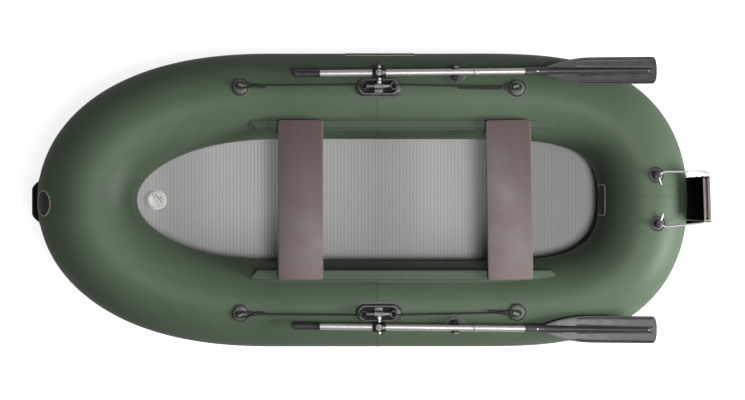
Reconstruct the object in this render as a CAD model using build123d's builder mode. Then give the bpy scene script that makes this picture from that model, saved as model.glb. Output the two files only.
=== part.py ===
from build123d import *
import math
import os

# Two-seat rowing inflatable, seen from its own frame: +X to the bow, +Y to port, +Z up.
# The origin is the middle of the bottom of the whole boat.

# ---- driving dimensions, in millimetres ----
overall_length = 3024
half_length = overall_length / 2

# Buoyancy tube. Its centreline runs straight along both sides and closes in a rounded bow
# and a squarer stern, each a superellipse.
tube_half_beam = 478          # centreline of a side tube from the middle of the boat
side_radius = 196
seam_x = -49                  # bulkhead seam where the two air chambers meet
bow_start_x = 370
bow_end_x = 1264
bow_radius = 218
bow_rise = 111
bow_length_power = 2.44
bow_width_power = 2.05
stern_start_x = -360
stern_end_x = -1262
stern_radius = 199
stern_rise = 20
stern_length_power = 4.0
stern_width_power = 2.27

# Bottom skin and air floor
skin_thickness = 2.5
skin_gap = 1.4                # between the skin and the tubes' lowest line
skin_lap = 20                 # how far the skin runs out past the tubes' centreline
side_height = side_radius + skin_gap + skin_thickness   # of a side tube's centreline
floor_thickness = 80
floor_inset = 168             # floor edge inside the tube centreline at the sides
floor_edge_fillet = 12

# Benches and the rails that carry them
bench_width = 200
bench_length = 712
bench_thickness = 18
bench_corner = 12
bench_underside = 372
front_bench_x = 298
rear_bench_x = -631
rear_bench_skew = 0.9         # degrees: the loose rear bench stands a little askew
rail_height = 362
rail_flap_thickness = 3
rail_bead_radius = 5
rail_edge_y = 318             # inner edge of the flap, on the middle of its bead
rail_tube_y = 376             # outer edge of the flap, glued to the tube
rail_fore_x = 529
rail_aft_x = -857
rail_end_cut = 33             # the flap's ends are cut off at about 45 degrees
shoe_length = 120
shoe_width = 26
shoe_clearance = 1.0

# Oars, oarlocks and clips (port side; the starboard side is its mirror image)
pivot_x = -51
barrel_y = 503                # hinge line of the oarlock
oar_y = 561                   # oar centreline where the bolt crosses it
oar_z = 424
oar_splay = 0.58              # degrees that the stowed oar opens out towards the stern
oar_inboard_length = 378      # from the bolt to the end of the grip
oar_outboard_length = 1226    # from the bolt to the tip of the blade
shaft_radius = 15
grip_length = 118
grip_radius = 16.5
collar_length = 59
collar_radius = 22
sleeve_start = 417            # joint sleeve between the two halves of the shaft
sleeve_length = 26
blade_socket_start = 644
blade_shoulder = 728
blade_full_width = 949
blade_half_width = 60
blade_thickness = 5
blade_tip_corner = 20
bolt_radius = 4
axle_radius = 5
barrel_radius = 9
barrel_length = 40
base_length = 213
base_width = 96
base_thickness = 6
base_ring_length = 182
base_ring_width = 71
base_ring_height = 12
base_ring_wall = 6
post_offset = 66              # from the middle of the base to each end post
post_radius = 15
clip_x = -386
clip_length = 32
clip_wall = 9
clip_clearance = 0.6

# Grab lines and their eyes
rope_radius = 5
eye_radius = 37
eye_plate = 5
fore_eye_x = 568
fore_eye_roll = 10.5          # degrees outboard from the top of the tube
aft_eye_x = -664
aft_eye_roll = 6.7
lug_length = 14
lug_width = 32
lug_bore_height = 12

# Bow handle
handle_reach = 30
handle_base_width = 182
handle_grip_width = 124
handle_thickness = 9
handle_height = 32

# Clip-on transom
board_width = 194
board_thickness = 33
board_top = 440
board_bottom = 130
transom_eye_x = -1276
transom_eye_y = 107
transom_rod_radius = 5.5
transom_arm_y = 126
side_plate_thickness = 5

# Valves
floor_valve_x = 989
floor_valve_radius = 40.5
tube_valve_radius = 30

os.makedirs("parts", exist_ok=True)


def save(builder, name):
    """Label a finished piece and write it as one STEP file."""
    builder.part.label = name
    export_step(builder.part, f"parts/{name}.step")


def end_fraction(x):
    """How far x lies along the curved bow or stern: 0 on the straight side, 1 at the very end."""
    if x > bow_start_x:
        return (x - bow_start_x) / (bow_end_x - bow_start_x)
    if x < stern_start_x:
        return (stern_start_x - x) / (stern_start_x - stern_end_x)
    return 0


def centre_height(x):
    """Height of the tube's centreline: the bow sweeps up, the stern lifts a little."""
    rise = bow_rise if x > 0 else stern_rise
    return side_height + rise * end_fraction(x) ** 2


def tube_radius(x):
    """Radius of the tube, which swells gently towards bow and stern."""
    end_radius = bow_radius if x > 0 else stern_radius
    return side_radius + (end_radius - side_radius) * end_fraction(x) ** 1.5


def end_outline(start_x, end_x, half_beam, length_power, width_power):
    """Points (x, y) of a half bow or stern from its straight side to the middle of the boat."""
    points = []
    for step in range(241):
        angle = step / 240 * math.pi / 2
        x = start_x + (end_x - start_x) * math.sin(angle) ** (2 / length_power)
        y = half_beam * max(math.cos(angle), 0) ** (2 / width_power)
        points.append((x, y))
    points[-1] = (end_x, 0)
    return points


def evenly_spaced(points, count):
    """The same line through count + 1 points at equal distances along it."""
    lengths = [0]
    for first, second in zip(points, points[1:]):
        lengths.append(lengths[-1] + math.dist(first, second))
    spaced = []
    index = 0
    for step in range(count):
        target = lengths[-1] * step / count
        while lengths[index + 1] < target:
            index += 1
        share = (target - lengths[index]) / (lengths[index + 1] - lengths[index])
        first, second = points[index], points[index + 1]
        spaced.append(tuple(a + (b - a) * share for a, b in zip(first, second)))
    return spaced + [points[-1]]


def half_beam_at(x):
    """Half beam of the tube centreline at x."""
    u = end_fraction(x)
    powers = (bow_length_power, bow_width_power) if x > 0 else (stern_length_power, stern_width_power)
    sine = u ** (powers[0] / 2)
    return tube_half_beam * math.sqrt(1 - sine ** 2) ** (2 / powers[1])


def chamber(end_points, seam, spans):
    """Solid of one air chamber: circles square to the centreline, lofted from side to side."""
    port = evenly_spaced([(seam, tube_half_beam)] + end_points, spans)
    starboard = [(x, -y) for x, y in reversed(port[:-1])]
    route = [Vector(x, y, centre_height(x)) for x, y in port + starboard]
    with BuildPart() as tube:
        for index, point in enumerate(route):
            before = route[max(index - 1, 0)]
            after = route[min(index + 1, len(route) - 1)]
            tangent = after - before
            across = tangent.cross(Vector(0, 0, 1))
            with BuildSketch(Plane(point, x_dir=across, z_dir=tangent)):
                Circle(tube_radius(point.X))
        loft()
    return tube


bow_line = end_outline(bow_start_x, bow_end_x, tube_half_beam, bow_length_power, bow_width_power)
stern_line = end_outline(
    stern_start_x, stern_end_x, tube_half_beam, stern_length_power, stern_width_power
)
tube_bow = chamber(bow_line, seam_x + 0.2, 13)
save(tube_bow, "tube_bow")
tube_stern = chamber(stern_line, seam_x - 0.2, 13)
save(tube_stern, "tube_stern")


def save_pair(builder, name):
    """Write a port piece and its mirror image on the starboard side."""
    save(builder, f"{name}_port")
    with BuildPart() as twin:
        mirror(builder.part, about=Plane.XZ)
    save(twin, f"{name}_starboard")


def tube_centre(x):
    """Point of the port tube's centreline at x."""
    return Vector(x, half_beam_at(x), centre_height(x))


def tube_plane(x, roll):
    """Plane on the port tube's skin, rolled outboard from its top; local X runs to the bow."""
    outward = Vector(0, math.sin(math.radians(roll)), math.cos(math.radians(roll)))
    return Plane(tube_centre(x) + outward * tube_radius(x), x_dir=(1, 0, 0), z_dir=outward)


def cut_to_tube():
    """Shape the underside of a patch to the tube it is glued to."""
    add(tube_bow.part, mode=Mode.SUBTRACT)
    add(tube_stern.part, mode=Mode.SUBTRACT)


# ---- bottom skin and air floor ----
def keel_point(x):
    """Point (x, z) straight below the centreline's side view at station x, one radius away."""
    step = 2
    near, far = (x - step, x) if x > 0 else (x, x + step)
    slope = (centre_height(far) - centre_height(near)) / step
    level = 1 / math.sqrt(1 + slope ** 2)
    reach = tube_radius(x)
    return (x + reach * slope * level, centre_height(x) - reach * level)


def spread(first, last, count):
    """count + 1 evenly spread numbers from first to last."""
    return [first + (last - first) * step / count for step in range(count + 1)]


bow_keel = [keel_point(x) for x in spread(bow_start_x, bow_end_x, 8)]
bow_keel.append((bow_keel[-1][0] + skin_lap, bow_keel[-1][1]))
stern_keel = [keel_point(x) for x in spread(stern_start_x, stern_end_x, 5)]
stern_keel.append((stern_keel[-1][0] - skin_lap, stern_keel[-1][1]))


def keel_height(x):
    """Height of the tubes' lowest line at x, between the points that give it."""
    line = list(reversed(stern_keel)) + bow_keel
    for (x1, z1), (x2, z2) in zip(line, line[1:]):
        if x1 <= x <= x2:
            return z1 + (z2 - z1) * (x - x1) / (x2 - x1)


def side_profile(low, high):
    """Face in the XZ plane that follows the tubes' lowest line, from low to high above it."""
    with BuildLine() as outline:
        for lift in (low, high):
            bow = [(x, z + lift) for x, z in bow_keel]
            stern = [(x, z + lift) for x, z in stern_keel]
            Spline(*bow, tangents=[(1, 0), (1, 0)])
            Line(bow[0], stern[0])
            Spline(*stern, tangents=[(-1, 0), (-1, 0)])
        for x, z in (bow_keel[-1], stern_keel[-1]):
            Line((x, z + low), (x, z + high))
    make_face(outline.edges())


def plan_outline(bow_x, stern_x, half_beam):
    """Plan of the boat as a closed curve inside or outside the tubes' centreline."""
    bow = end_outline(bow_start_x, bow_x, half_beam, bow_length_power, bow_width_power)
    stern = end_outline(
        stern_start_x, stern_x, half_beam, stern_length_power, stern_width_power
    )
    bow = evenly_spaced(bow, 7)
    stern = evenly_spaced(stern, 7)
    fore = bow + [(x, -y) for x, y in reversed(bow[:-1])]
    aft = stern + [(x, -y) for x, y in reversed(stern[:-1])]
    with BuildLine() as outline:
        Spline(*fore, tangents=[(1, 0), (-1, 0)])
        Spline(*aft, tangents=[(-1, 0), (1, 0)])
        Line(fore[0], aft[0])
        Line(fore[-1], aft[-1])
    make_face(outline.edges())


with BuildPart() as bottom_skin:
    skin_top = -skin_gap
    with BuildSketch(Plane.XZ):
        side_profile(skin_top - skin_thickness, skin_top)
    extrude(amount=700, both=True)
    with BuildSketch(Plane.XY.offset(-50)):
        plan_outline(bow_end_x + skin_lap, stern_end_x - skin_lap, tube_half_beam + skin_lap)
    extrude(amount=400, mode=Mode.INTERSECT)
save(bottom_skin, "bottom_skin")

floor_low = 0.5
floor_high = floor_low + floor_thickness
with BuildPart() as air_floor:
    with BuildSketch(Plane.XZ):
        side_profile(floor_low, floor_high)
    extrude(amount=700, both=True)
    with BuildSketch(Plane.XY.offset(-50)):
        plan_outline(bow_end_x - 150, stern_end_x + 165, tube_half_beam - floor_inset)
    extrude(amount=400, mode=Mode.INTERSECT)
save(air_floor, "air_floor")

# ---- benches, their shoes and rails ----
with BuildPart() as rail:
    with BuildSketch(Plane.XY.offset(rail_height - rail_flap_thickness / 2)):
        with BuildLine():
            Polyline(
                (rail_aft_x, rail_tube_y),
                (rail_aft_x, rail_tube_y - 16),
                (rail_aft_x + rail_end_cut, rail_edge_y),
                (rail_fore_x - rail_end_cut, rail_edge_y),
                (rail_fore_x, rail_tube_y - 16),
                (rail_fore_x, rail_tube_y),
                close=True,
            )
        make_face()
    extrude(amount=rail_flap_thickness)
    bead_length = rail_fore_x - rail_aft_x - 2 * rail_end_cut
    bead_plane = Plane((rail_aft_x + rail_end_cut, rail_edge_y, rail_height), z_dir=(1, 0, 0))
    with BuildSketch(bead_plane):
        Circle(rail_bead_radius)
    extrude(amount=bead_length)
    cut_to_tube()
save_pair(rail, "seat_rail")


def bench(centre_x, skew):
    """Plywood board with rounded corners, its middle at centre_x."""
    with BuildPart() as board:
        turned = Plane((centre_x, 0, bench_underside), x_dir=Vector(1, 0, 0).rotate(Axis.Z, skew))
        with BuildSketch(turned):
            RectangleRounded(bench_width, bench_length, bench_corner)
        extrude(amount=bench_thickness)
        fillet(board.faces().sort_by(Axis.Z)[-1].edges(), 2)
    return board


def bench_shoe(centre_x):
    """Channel under a bench end that closes round the rail's bead and lets the bench slide."""
    with BuildPart() as shoe:
        section = Plane((centre_x, rail_edge_y, rail_height), x_dir=(0, 1, 0), z_dir=(1, 0, 0))
        with BuildSketch(section):
            with BuildLine():
                half = shoe_width / 2
                Polyline((-half, -10), (half, -10), (half, 10), (-half, 10), close=True)
            make_face()
            Circle(rail_bead_radius + shoe_clearance, mode=Mode.SUBTRACT)
            slot_height = rail_flap_thickness + 2 * shoe_clearance
            with Locations((half / 2, 0)):
                Rectangle(half, slot_height, mode=Mode.SUBTRACT)
        extrude(amount=shoe_length / 2, both=True)
    return shoe


for bench_name, bench_x, skew in (
    ("front_bench", front_bench_x, 0),
    ("rear_bench", rear_bench_x, rear_bench_skew),
):
    save(bench(bench_x, skew), bench_name)
    save_pair(bench_shoe(bench_x), f"{bench_name}_shoe")

# ---- oarlock base, axle and swivel ----
base_roll = 5.9
base_plane = tube_plane(pivot_x + 2, base_roll)
with BuildPart() as base:
    with BuildSketch(base_plane.offset(-8)):
        SlotOverall(base_length, base_width)
    extrude(amount=8 + base_thickness)
    with BuildSketch(base_plane.offset(base_thickness)):
        SlotOverall(base_ring_length, base_ring_width)
        SlotOverall(
            base_ring_length - 2 * base_ring_wall,
            base_ring_width - 2 * base_ring_wall,
            mode=Mode.SUBTRACT,
        )
    extrude(amount=base_ring_height)
    with BuildSketch(base_plane.offset(base_thickness)):
        with Locations((post_offset, 1), (-post_offset, 1)):
            Circle(post_radius)
    extrude(amount=33)
    cut_to_tube()
    with Locations(Plane((pivot_x + 2, barrel_y, oar_z), z_dir=(1, 0, 0))):
        Cylinder(axle_radius, 2 * post_offset, mode=Mode.SUBTRACT)
    rope_hole = base_plane.offset(16)
    with Locations(Plane(rope_hole.origin, z_dir=(1, 0, 0))):
        Cylinder(rope_radius + 1.2, 2 * (post_offset + post_radius + 20), mode=Mode.SUBTRACT)
save_pair(base, "oarlock_base")

with BuildPart() as axle:
    with BuildSketch(Plane((pivot_x + 2, barrel_y, oar_z), z_dir=(1, 0, 0))):
        Circle(axle_radius)
    extrude(amount=post_offset, both=True)
save_pair(axle, "oarlock_axle")

with BuildPart() as swivel:
    with BuildSketch(Plane((pivot_x, barrel_y, oar_z), z_dir=(1, 0, 0))):
        Circle(barrel_radius)
    extrude(amount=barrel_length / 2, both=True)
    with Locations((pivot_x, barrel_y + 12, oar_z)):
        Box(24, 24, 14)
    with Locations(Plane((pivot_x, barrel_y, oar_z), z_dir=(1, 0, 0))):
        Cylinder(axle_radius + 0.1, barrel_length, mode=Mode.SUBTRACT)
    with Locations(Plane((pivot_x, barrel_y + 24, oar_z), z_dir=(0, 1, 0))):
        Cylinder(bolt_radius, 2 * 12, mode=Mode.SUBTRACT)
save_pair(swivel, "oar_swivel")

with BuildPart() as bolt:
    bolt_start = barrel_y + 12
    with BuildSketch(Plane((pivot_x, bolt_start, oar_z), z_dir=(0, 1, 0))):
        Circle(bolt_radius)
    extrude(amount=oar_y + 36 - bolt_start)
    with BuildSketch(Plane((pivot_x, oar_y + collar_radius + 0.5, oar_z), z_dir=(0, 1, 0))):
        RegularPolygon(7.5, 6)
    extrude(amount=7)
    with BuildSketch(Plane((pivot_x, oar_y - collar_radius - 0.5, oar_z), z_dir=(0, -1, 0))):
        RegularPolygon(7.5, 6)
    extrude(amount=4)
save_pair(bolt, "oar_bolt")

# ---- oar: local Z runs to the blade, local X up, local Y outboard ----
oar_direction = Vector(-1, 0, 0).rotate(Axis.Z, -oar_splay)
oar_plane = Plane((pivot_x, oar_y, oar_z), x_dir=(0, 0, 1), z_dir=oar_direction)
blade_plane = Plane((pivot_x, oar_y, oar_z), x_dir=oar_direction, z_dir=(0, 0, 1))
shaft_fore = -oar_inboard_length + 4
shaft_aft = blade_socket_start + 60


def bolt_hole():
    """Cross hole for the oarlock bolt."""
    with Locations(Plane((pivot_x, oar_y, oar_z), z_dir=(0, 1, 0))):
        Cylinder(bolt_radius + 0.1, 80, mode=Mode.SUBTRACT)


with BuildPart() as oar_shaft:
    with BuildSketch(oar_plane.offset(shaft_fore)):
        Circle(shaft_radius)
    extrude(amount=shaft_aft - shaft_fore)
    bolt_hole()
save_pair(oar_shaft, "oar_shaft")

with BuildPart() as oar_grip:
    with BuildSketch(oar_plane.offset(-oar_inboard_length)):
        Circle(grip_radius)
    extrude(amount=grip_length)
    fillet(oar_grip.faces().sort_by(Axis.X)[-1].edges(), 6)
    with BuildSketch(oar_plane.offset(shaft_fore)):
        Circle(shaft_radius)
    extrude(amount=grip_length, mode=Mode.SUBTRACT)
save_pair(oar_grip, "oar_grip")

with BuildPart() as oar_collar:
    with BuildSketch(oar_plane.offset(-collar_length / 2)):
        Circle(collar_radius)
        Circle(shaft_radius, mode=Mode.SUBTRACT)
    extrude(amount=collar_length)
    bolt_hole()
save_pair(oar_collar, "oar_collar")

with BuildPart() as oar_sleeve:
    with BuildSketch(oar_plane.offset(sleeve_start)):
        Circle(shaft_radius + 1.5)
        Circle(shaft_radius, mode=Mode.SUBTRACT)
    extrude(amount=sleeve_length)
save_pair(oar_sleeve, "oar_sleeve")

with BuildPart() as oar_blade:
    socket_radius = shaft_radius + 3
    with BuildSketch(oar_plane.offset(blade_socket_start)):
        Circle(socket_radius)
    extrude(amount=blade_shoulder - blade_socket_start)
    rib_end = oar_outboard_length - 25
    with BuildSketch(oar_plane.offset(blade_shoulder)):
        Circle(socket_radius)
    with BuildSketch(oar_plane.offset(rib_end)):
        Ellipse(3.5, 5)
    loft()
    with BuildSketch(blade_plane.offset(-blade_thickness / 2)):
        with BuildLine():
            corner_start = oar_outboard_length - blade_tip_corner - 4
            Spline(
                (blade_shoulder, socket_radius - 3),
                (0.55 * blade_shoulder + 0.45 * blade_full_width, 0.78 * blade_half_width),
                (blade_full_width, blade_half_width),
                tangents=[(1, 0.1), (1, 0)],
            )
            Line((blade_full_width, blade_half_width), (corner_start, blade_half_width))
            Spline(
                (corner_start, blade_half_width),
                (oar_outboard_length - 4, blade_half_width - blade_tip_corner),
                (oar_outboard_length, 0),
                tangents=[(1, 0), (0, -1)],
            )
            Line((oar_outboard_length, 0), (blade_shoulder, 0))
            Line((blade_shoulder, 0), (blade_shoulder, socket_radius - 3))
        make_face()
        mirror(about=Plane.XZ)
    extrude(amount=blade_thickness)
    with BuildSketch(oar_plane.offset(blade_socket_start)):
        Circle(shaft_radius)
    extrude(amount=60, mode=Mode.SUBTRACT)
save_pair(oar_blade, "oar_blade")

# ---- oar clips ----
clip_oar_y = oar_y + (pivot_x - clip_x) * math.tan(math.radians(oar_splay))
clip_roll = 26
with BuildPart() as clip:
    with BuildSketch(tube_plane(clip_x, clip_roll).offset(-8)):
        RectangleRounded(88, 64, 20)
    extrude(amount=12)
    cradle = Plane((clip_x, clip_oar_y, oar_z), x_dir=(0, 1, 0), z_dir=(1, 0, 0))
    inner = shaft_radius + clip_clearance
    with BuildSketch(cradle):
        with Locations((0, -26)):
            Rectangle(2 * (inner + clip_wall), 68)
    extrude(amount=clip_length / 2, both=True)
    with Locations((clip_x, clip_oar_y - inner - 6, oar_z - 5)):
        Sphere(13)
    with Locations(cradle):
        Cylinder(inner, 80, mode=Mode.SUBTRACT)
    with Locations((clip_x, clip_oar_y, oar_z + 30)):
        Box(80, 2 * inner, 60, mode=Mode.SUBTRACT)
    cut_to_tube()
save_pair(clip, "oar_clip")

# ---- grab lines and their eyes ----
def rope_eye(plane):
    """Round patch with a lug that the grab line passes through."""
    with BuildPart() as eye:
        with BuildSketch(plane.offset(-6)):
            Circle(eye_radius)
        extrude(amount=6 + eye_plate)
        with BuildSketch(plane.offset(eye_plate)):
            RectangleRounded(lug_length, lug_width, 4)
        extrude(amount=lug_bore_height + 10)
        cut_to_tube()
        with Locations(Plane(plane.offset(eye_plate + lug_bore_height).origin, z_dir=(1, 0, 0))):
            Cylinder(rope_radius + 1.5, 60, mode=Mode.SUBTRACT)
    return eye


fore_eye_plane = tube_plane(fore_eye_x, fore_eye_roll)
aft_eye_plane = tube_plane(aft_eye_x, aft_eye_roll)
save_pair(rope_eye(fore_eye_plane), "rope_eye_fore")
save_pair(rope_eye(aft_eye_plane), "rope_eye_aft")

with BuildPart() as grab_line:
    post_point = base_plane.offset(16).origin
    for eye_plane, direction in ((fore_eye_plane, 1), (aft_eye_plane, -1)):
        eye_point = eye_plane.offset(eye_plate + lug_bore_height).origin + Vector(direction * 14, 0, 0)
        inner_point = post_point + Vector(direction * (post_offset - 4), 0, 0)
        with BuildSketch(Plane(inner_point, z_dir=eye_point - inner_point)):
            Circle(rope_radius)
        extrude(amount=(eye_point - inner_point).length)
save_pair(grab_line, "grab_line")

# ---- bow handle ----
nose_x = bow_end_x + bow_radius
nose_z = side_height + bow_rise
with BuildPart() as bow_handle:
    with BuildSketch(Plane.XY.offset(nose_z - handle_height / 2)):
        with BuildLine():
            FilletPolyline(
                (nose_x - 30, -handle_base_width / 2),
                (nose_x + 2, -handle_base_width / 2),
                (nose_x + handle_reach, -handle_grip_width / 2),
                (nose_x + handle_reach, handle_grip_width / 2),
                (nose_x + 2, handle_base_width / 2),
                (nose_x - 30, handle_base_width / 2),
                radius=10,
            )
            Line((nose_x - 30, handle_base_width / 2), (nose_x - 30, -handle_base_width / 2))
        make_face()
        with BuildLine():
            inner_x = nose_x + handle_reach - handle_thickness
            FilletPolyline(
                (nose_x - 30, -handle_base_width / 2 + 22),
                (nose_x - 2, -handle_base_width / 2 + 22),
                (inner_x, -handle_grip_width / 2 + 4),
                (inner_x, handle_grip_width / 2 - 4),
                (nose_x - 2, handle_base_width / 2 - 22),
                (nose_x - 30, handle_base_width / 2 - 22),
                radius=8,
            )
            Line((nose_x - 30, handle_base_width / 2 - 22), (nose_x - 30, -handle_base_width / 2 + 22))
        make_face(mode=Mode.SUBTRACT)
    extrude(amount=handle_height)
    with BuildSketch(Plane.YZ.offset(nose_x - 30)):
        with Locations((-handle_base_width / 2 + 11, nose_z), (handle_base_width / 2 - 11, nose_z)):
            RectangleRounded(44, 80, 14)
    extrude(amount=33)
    cut_to_tube()
save(bow_handle, "bow_handle")

# ---- clip-on transom ----
board_x = -half_length
board_z = (board_top + board_bottom) / 2
with BuildPart() as transom_board:
    with BuildSketch(Plane.YZ.offset(board_x)):
        with Locations((0, board_z)):
            RectangleRounded(board_width, board_top - board_bottom, 12)
    extrude(amount=board_thickness)
save(transom_board, "transom_board")

stern_centre = Vector(stern_end_x, 0, side_height + stern_rise)


def stern_plane(roll, y):
    """Plane on the stern tube's skin, rolled aft from its top; local Y runs across the boat."""
    outward = Vector(-math.sin(math.radians(roll)), 0, math.cos(math.radians(roll)))
    origin = stern_centre + Vector(0, y, 0) + outward * stern_radius
    return Plane(origin, x_dir=Vector(0, 1, 0), z_dir=outward)


top_roll = math.degrees(math.asin((stern_end_x - transom_eye_x) / stern_radius))
low_roll = 125
top_eye = stern_plane(top_roll, transom_eye_y)
low_eye = stern_plane(low_roll, transom_eye_y)
rod_height = 16
top_rod_point = top_eye.offset(rod_height).origin
low_rod_point = low_eye.offset(rod_height).origin
plate_y = board_width / 2 + side_plate_thickness / 2 + 0.5


def round_rod(*points, radius):
    """Round steel rod along straight runs joined by tangent bends."""
    with BuildLine() as route:
        FilletPolyline(*points, radius=radius)
    first, second = Vector(*points[0]), Vector(*points[1])
    with BuildSketch(Plane(points[0], z_dir=second - first)) as section:
        Circle(transom_rod_radius)
    sweep(section.sketch, path=route.wires()[0])


with BuildPart() as transom_arm:
    top_z = top_rod_point.Z
    round_rod(
        (transom_eye_x - 20, transom_eye_y - 46, top_z),
        (transom_eye_x, transom_eye_y, top_z),
        (transom_eye_x - 40, transom_arm_y, top_z),
        (board_x + board_thickness / 2, transom_arm_y, top_z),
        radius=12,
    )
    low_x = low_rod_point.X
    low_z = low_rod_point.Z
    round_rod(
        (low_x, transom_eye_y - 40, low_z),
        (low_x, transom_arm_y, low_z),
        (board_x + board_thickness / 2, transom_arm_y, low_z + 40),
        radius=12,
    )
    plate_low = low_z + 24
    plate_high = top_z + 7
    with BuildSketch(Plane.XZ.offset(-plate_y - side_plate_thickness / 2)):
        with Locations((board_x + board_thickness / 2, (plate_low + plate_high) / 2)):
            RectangleRounded(board_thickness, plate_high - plate_low, 5)
    extrude(amount=side_plate_thickness)
    for spacer_z in (top_z, low_z + 40):
        with BuildSketch(Plane.XZ.offset(-plate_y)):
            with Locations((board_x + board_thickness / 2, spacer_z)):
                Circle(9)
        extrude(amount=-(transom_arm_y - plate_y))
save_pair(transom_arm, "transom_arm")


def transom_eye(plane, rod_point, rod_direction):
    """Round patch with a clamp that grips the bent end of a transom rod."""
    with BuildPart() as eye:
        with BuildSketch(plane.offset(-6)):
            Circle(34)
        extrude(amount=6 + 4)
        with BuildSketch(plane.offset(4)):
            Circle(15)
        extrude(amount=22, taper=6)
        cut_to_tube()
        add(transom_arm.part, mode=Mode.SUBTRACT)
    return eye


save_pair(transom_eye(top_eye, top_rod_point, None), "transom_eye_top")
save_pair(transom_eye(low_eye, low_rod_point, None), "transom_eye_low")

# ---- valves ----
floor_slope = (keel_height(floor_valve_x + 40) - keel_height(floor_valve_x - 40)) / 80
floor_top = keel_height(floor_valve_x) + floor_high
valve_plane = Plane((floor_valve_x, 0, floor_top), x_dir=(1, 0, floor_slope), z_dir=(-floor_slope, 0, 1))
with BuildPart() as floor_valve:
    with BuildSketch(valve_plane.offset(0.4)):
        Circle(floor_valve_radius + 5)
    extrude(amount=3)
    with BuildSketch(valve_plane.offset(3.4)):
        Circle(floor_valve_radius)
    extrude(amount=9)
save(floor_valve, "floor_valve")

for valve_name, valve_x in (("bow_chamber_valve", 300), ("stern_chamber_valve", -520)):
    valve_seat = tube_plane(valve_x, -115)
    with BuildPart() as valve:
        with BuildSketch(valve_seat.offset(-4)):
            Circle(tube_valve_radius)
        extrude(amount=4 + 8)
        cut_to_tube()
    save(valve, valve_name)
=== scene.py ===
import bmesh
import bpy
import math
import numpy as np
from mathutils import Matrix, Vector


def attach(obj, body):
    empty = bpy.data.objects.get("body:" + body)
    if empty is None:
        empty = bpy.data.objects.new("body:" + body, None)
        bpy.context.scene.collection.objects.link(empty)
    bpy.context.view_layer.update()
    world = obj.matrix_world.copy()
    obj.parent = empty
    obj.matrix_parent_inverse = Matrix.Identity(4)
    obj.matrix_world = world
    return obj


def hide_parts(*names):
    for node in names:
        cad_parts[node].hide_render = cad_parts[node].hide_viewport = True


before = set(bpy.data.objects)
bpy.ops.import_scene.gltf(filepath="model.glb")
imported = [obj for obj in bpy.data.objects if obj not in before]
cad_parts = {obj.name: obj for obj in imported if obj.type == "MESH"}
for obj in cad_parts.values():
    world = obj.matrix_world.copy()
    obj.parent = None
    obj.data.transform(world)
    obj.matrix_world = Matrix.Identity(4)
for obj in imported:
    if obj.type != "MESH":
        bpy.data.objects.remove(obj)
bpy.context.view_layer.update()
scene = bpy.context.scene


# ---- the view ----
# The boat is seen from straight above, a little aft of its middle, with the bow to the left.
camera = bpy.data.objects.new("camera", bpy.data.cameras.new("camera"))
scene.collection.objects.link(camera)
camera.location = (-0.022, 0, 5.4)
camera.rotation_euler = (0, 0, math.pi)
camera.data.lens = 54.46
camera.data.sensor_width = 36
scene.camera = camera
scene.view_settings.view_transform = "Standard"


# ---- studio floor, world and lamps ----
# A plain pale sheet under the boat. A large softbox stands low astern, a little to port, and a
# smaller one hangs almost overhead.
def add_node(tree, kind, sockets=None, **settings):
    """One node of a tree. Each socket takes a number, a colour or the socket that feeds it."""
    node = tree.nodes.new(kind)
    for name, value in settings.items():
        setattr(node, name, value)
    for socket, value in (sockets or {}).items():
        if isinstance(value, bpy.types.NodeSocket):
            tree.links.new(value, node.inputs[socket])
        else:
            node.inputs[socket].default_value = value
    return node


def either(tree, first, second):
    """1 where either of two masks is 1."""
    return add_node(tree, "ShaderNodeMath", {0: first, 1: second}, operation="MAXIMUM").outputs[0]


mirror_share = 0.4


def seen_directly(tree):
    """1 for what the lens sees, a share for what metal and glass show, and 0 for bounced light."""
    ray = add_node(tree, "ShaderNodeLightPath").outputs
    mirrored = either(tree, ray["Is Glossy Ray"], ray["Is Transmission Ray"])
    shared = add_node(tree, "ShaderNodeMath", {0: mirrored, 1: mirror_share}, operation="MULTIPLY")
    return either(tree, ray["Is Camera Ray"], shared.outputs[0])


white = (1, 1, 1, 1)
room_grey = 0.018
world = bpy.data.worlds.new("studio")
scene.world = world
world.use_nodes = True
sky = world.node_tree
sky.nodes.clear()
dim = add_node(sky, "ShaderNodeBackground", {"Color": white, "Strength": room_grey})
bright = add_node(sky, "ShaderNodeBackground", {"Color": white, "Strength": 1.0})
backdrop = add_node(
    sky, "ShaderNodeMixShader", {0: seen_directly(sky), 1: dim.outputs[0], 2: bright.outputs[0]}
)
add_node(sky, "ShaderNodeOutputWorld", {"Surface": backdrop.outputs[0]})

sheet_reach = 30
sheet_glow = 0.88
sheet_corners = [
    (x * sheet_reach, y * sheet_reach, 0) for x, y in ((-1, -1), (1, -1), (1, 1), (-1, 1))
]
floor_mesh = bpy.data.meshes.new("studio_floor")
floor_mesh.from_pydata(sheet_corners, [], [(0, 1, 2, 3)])
floor_sheet = bpy.data.objects.new("studio_floor", floor_mesh)
scene.collection.objects.link(floor_sheet)
paper = bpy.data.materials.new("studio_paper")
paper.use_nodes = True
sheet_tree = paper.node_tree
sheet_tree.nodes.clear()
dull = add_node(sheet_tree, "ShaderNodeBsdfDiffuse", {"Color": (0.3, 0.3, 0.3, 1)})
pale = add_node(sheet_tree, "ShaderNodeBsdfDiffuse", {"Color": (0.5, 0.5, 0.5, 1)})
glow = add_node(sheet_tree, "ShaderNodeEmission", {"Color": white, "Strength": sheet_glow})
lit = add_node(sheet_tree, "ShaderNodeAddShader", {0: pale.outputs[0], 1: glow.outputs[0]})
shown = add_node(
    sheet_tree, "ShaderNodeMixShader",
    {0: seen_directly(sheet_tree), 1: dull.outputs[0], 2: lit.outputs[0]},
)
add_node(sheet_tree, "ShaderNodeOutputMaterial", {"Surface": shown.outputs[0]})
floor_mesh.materials.append(paper)

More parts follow.
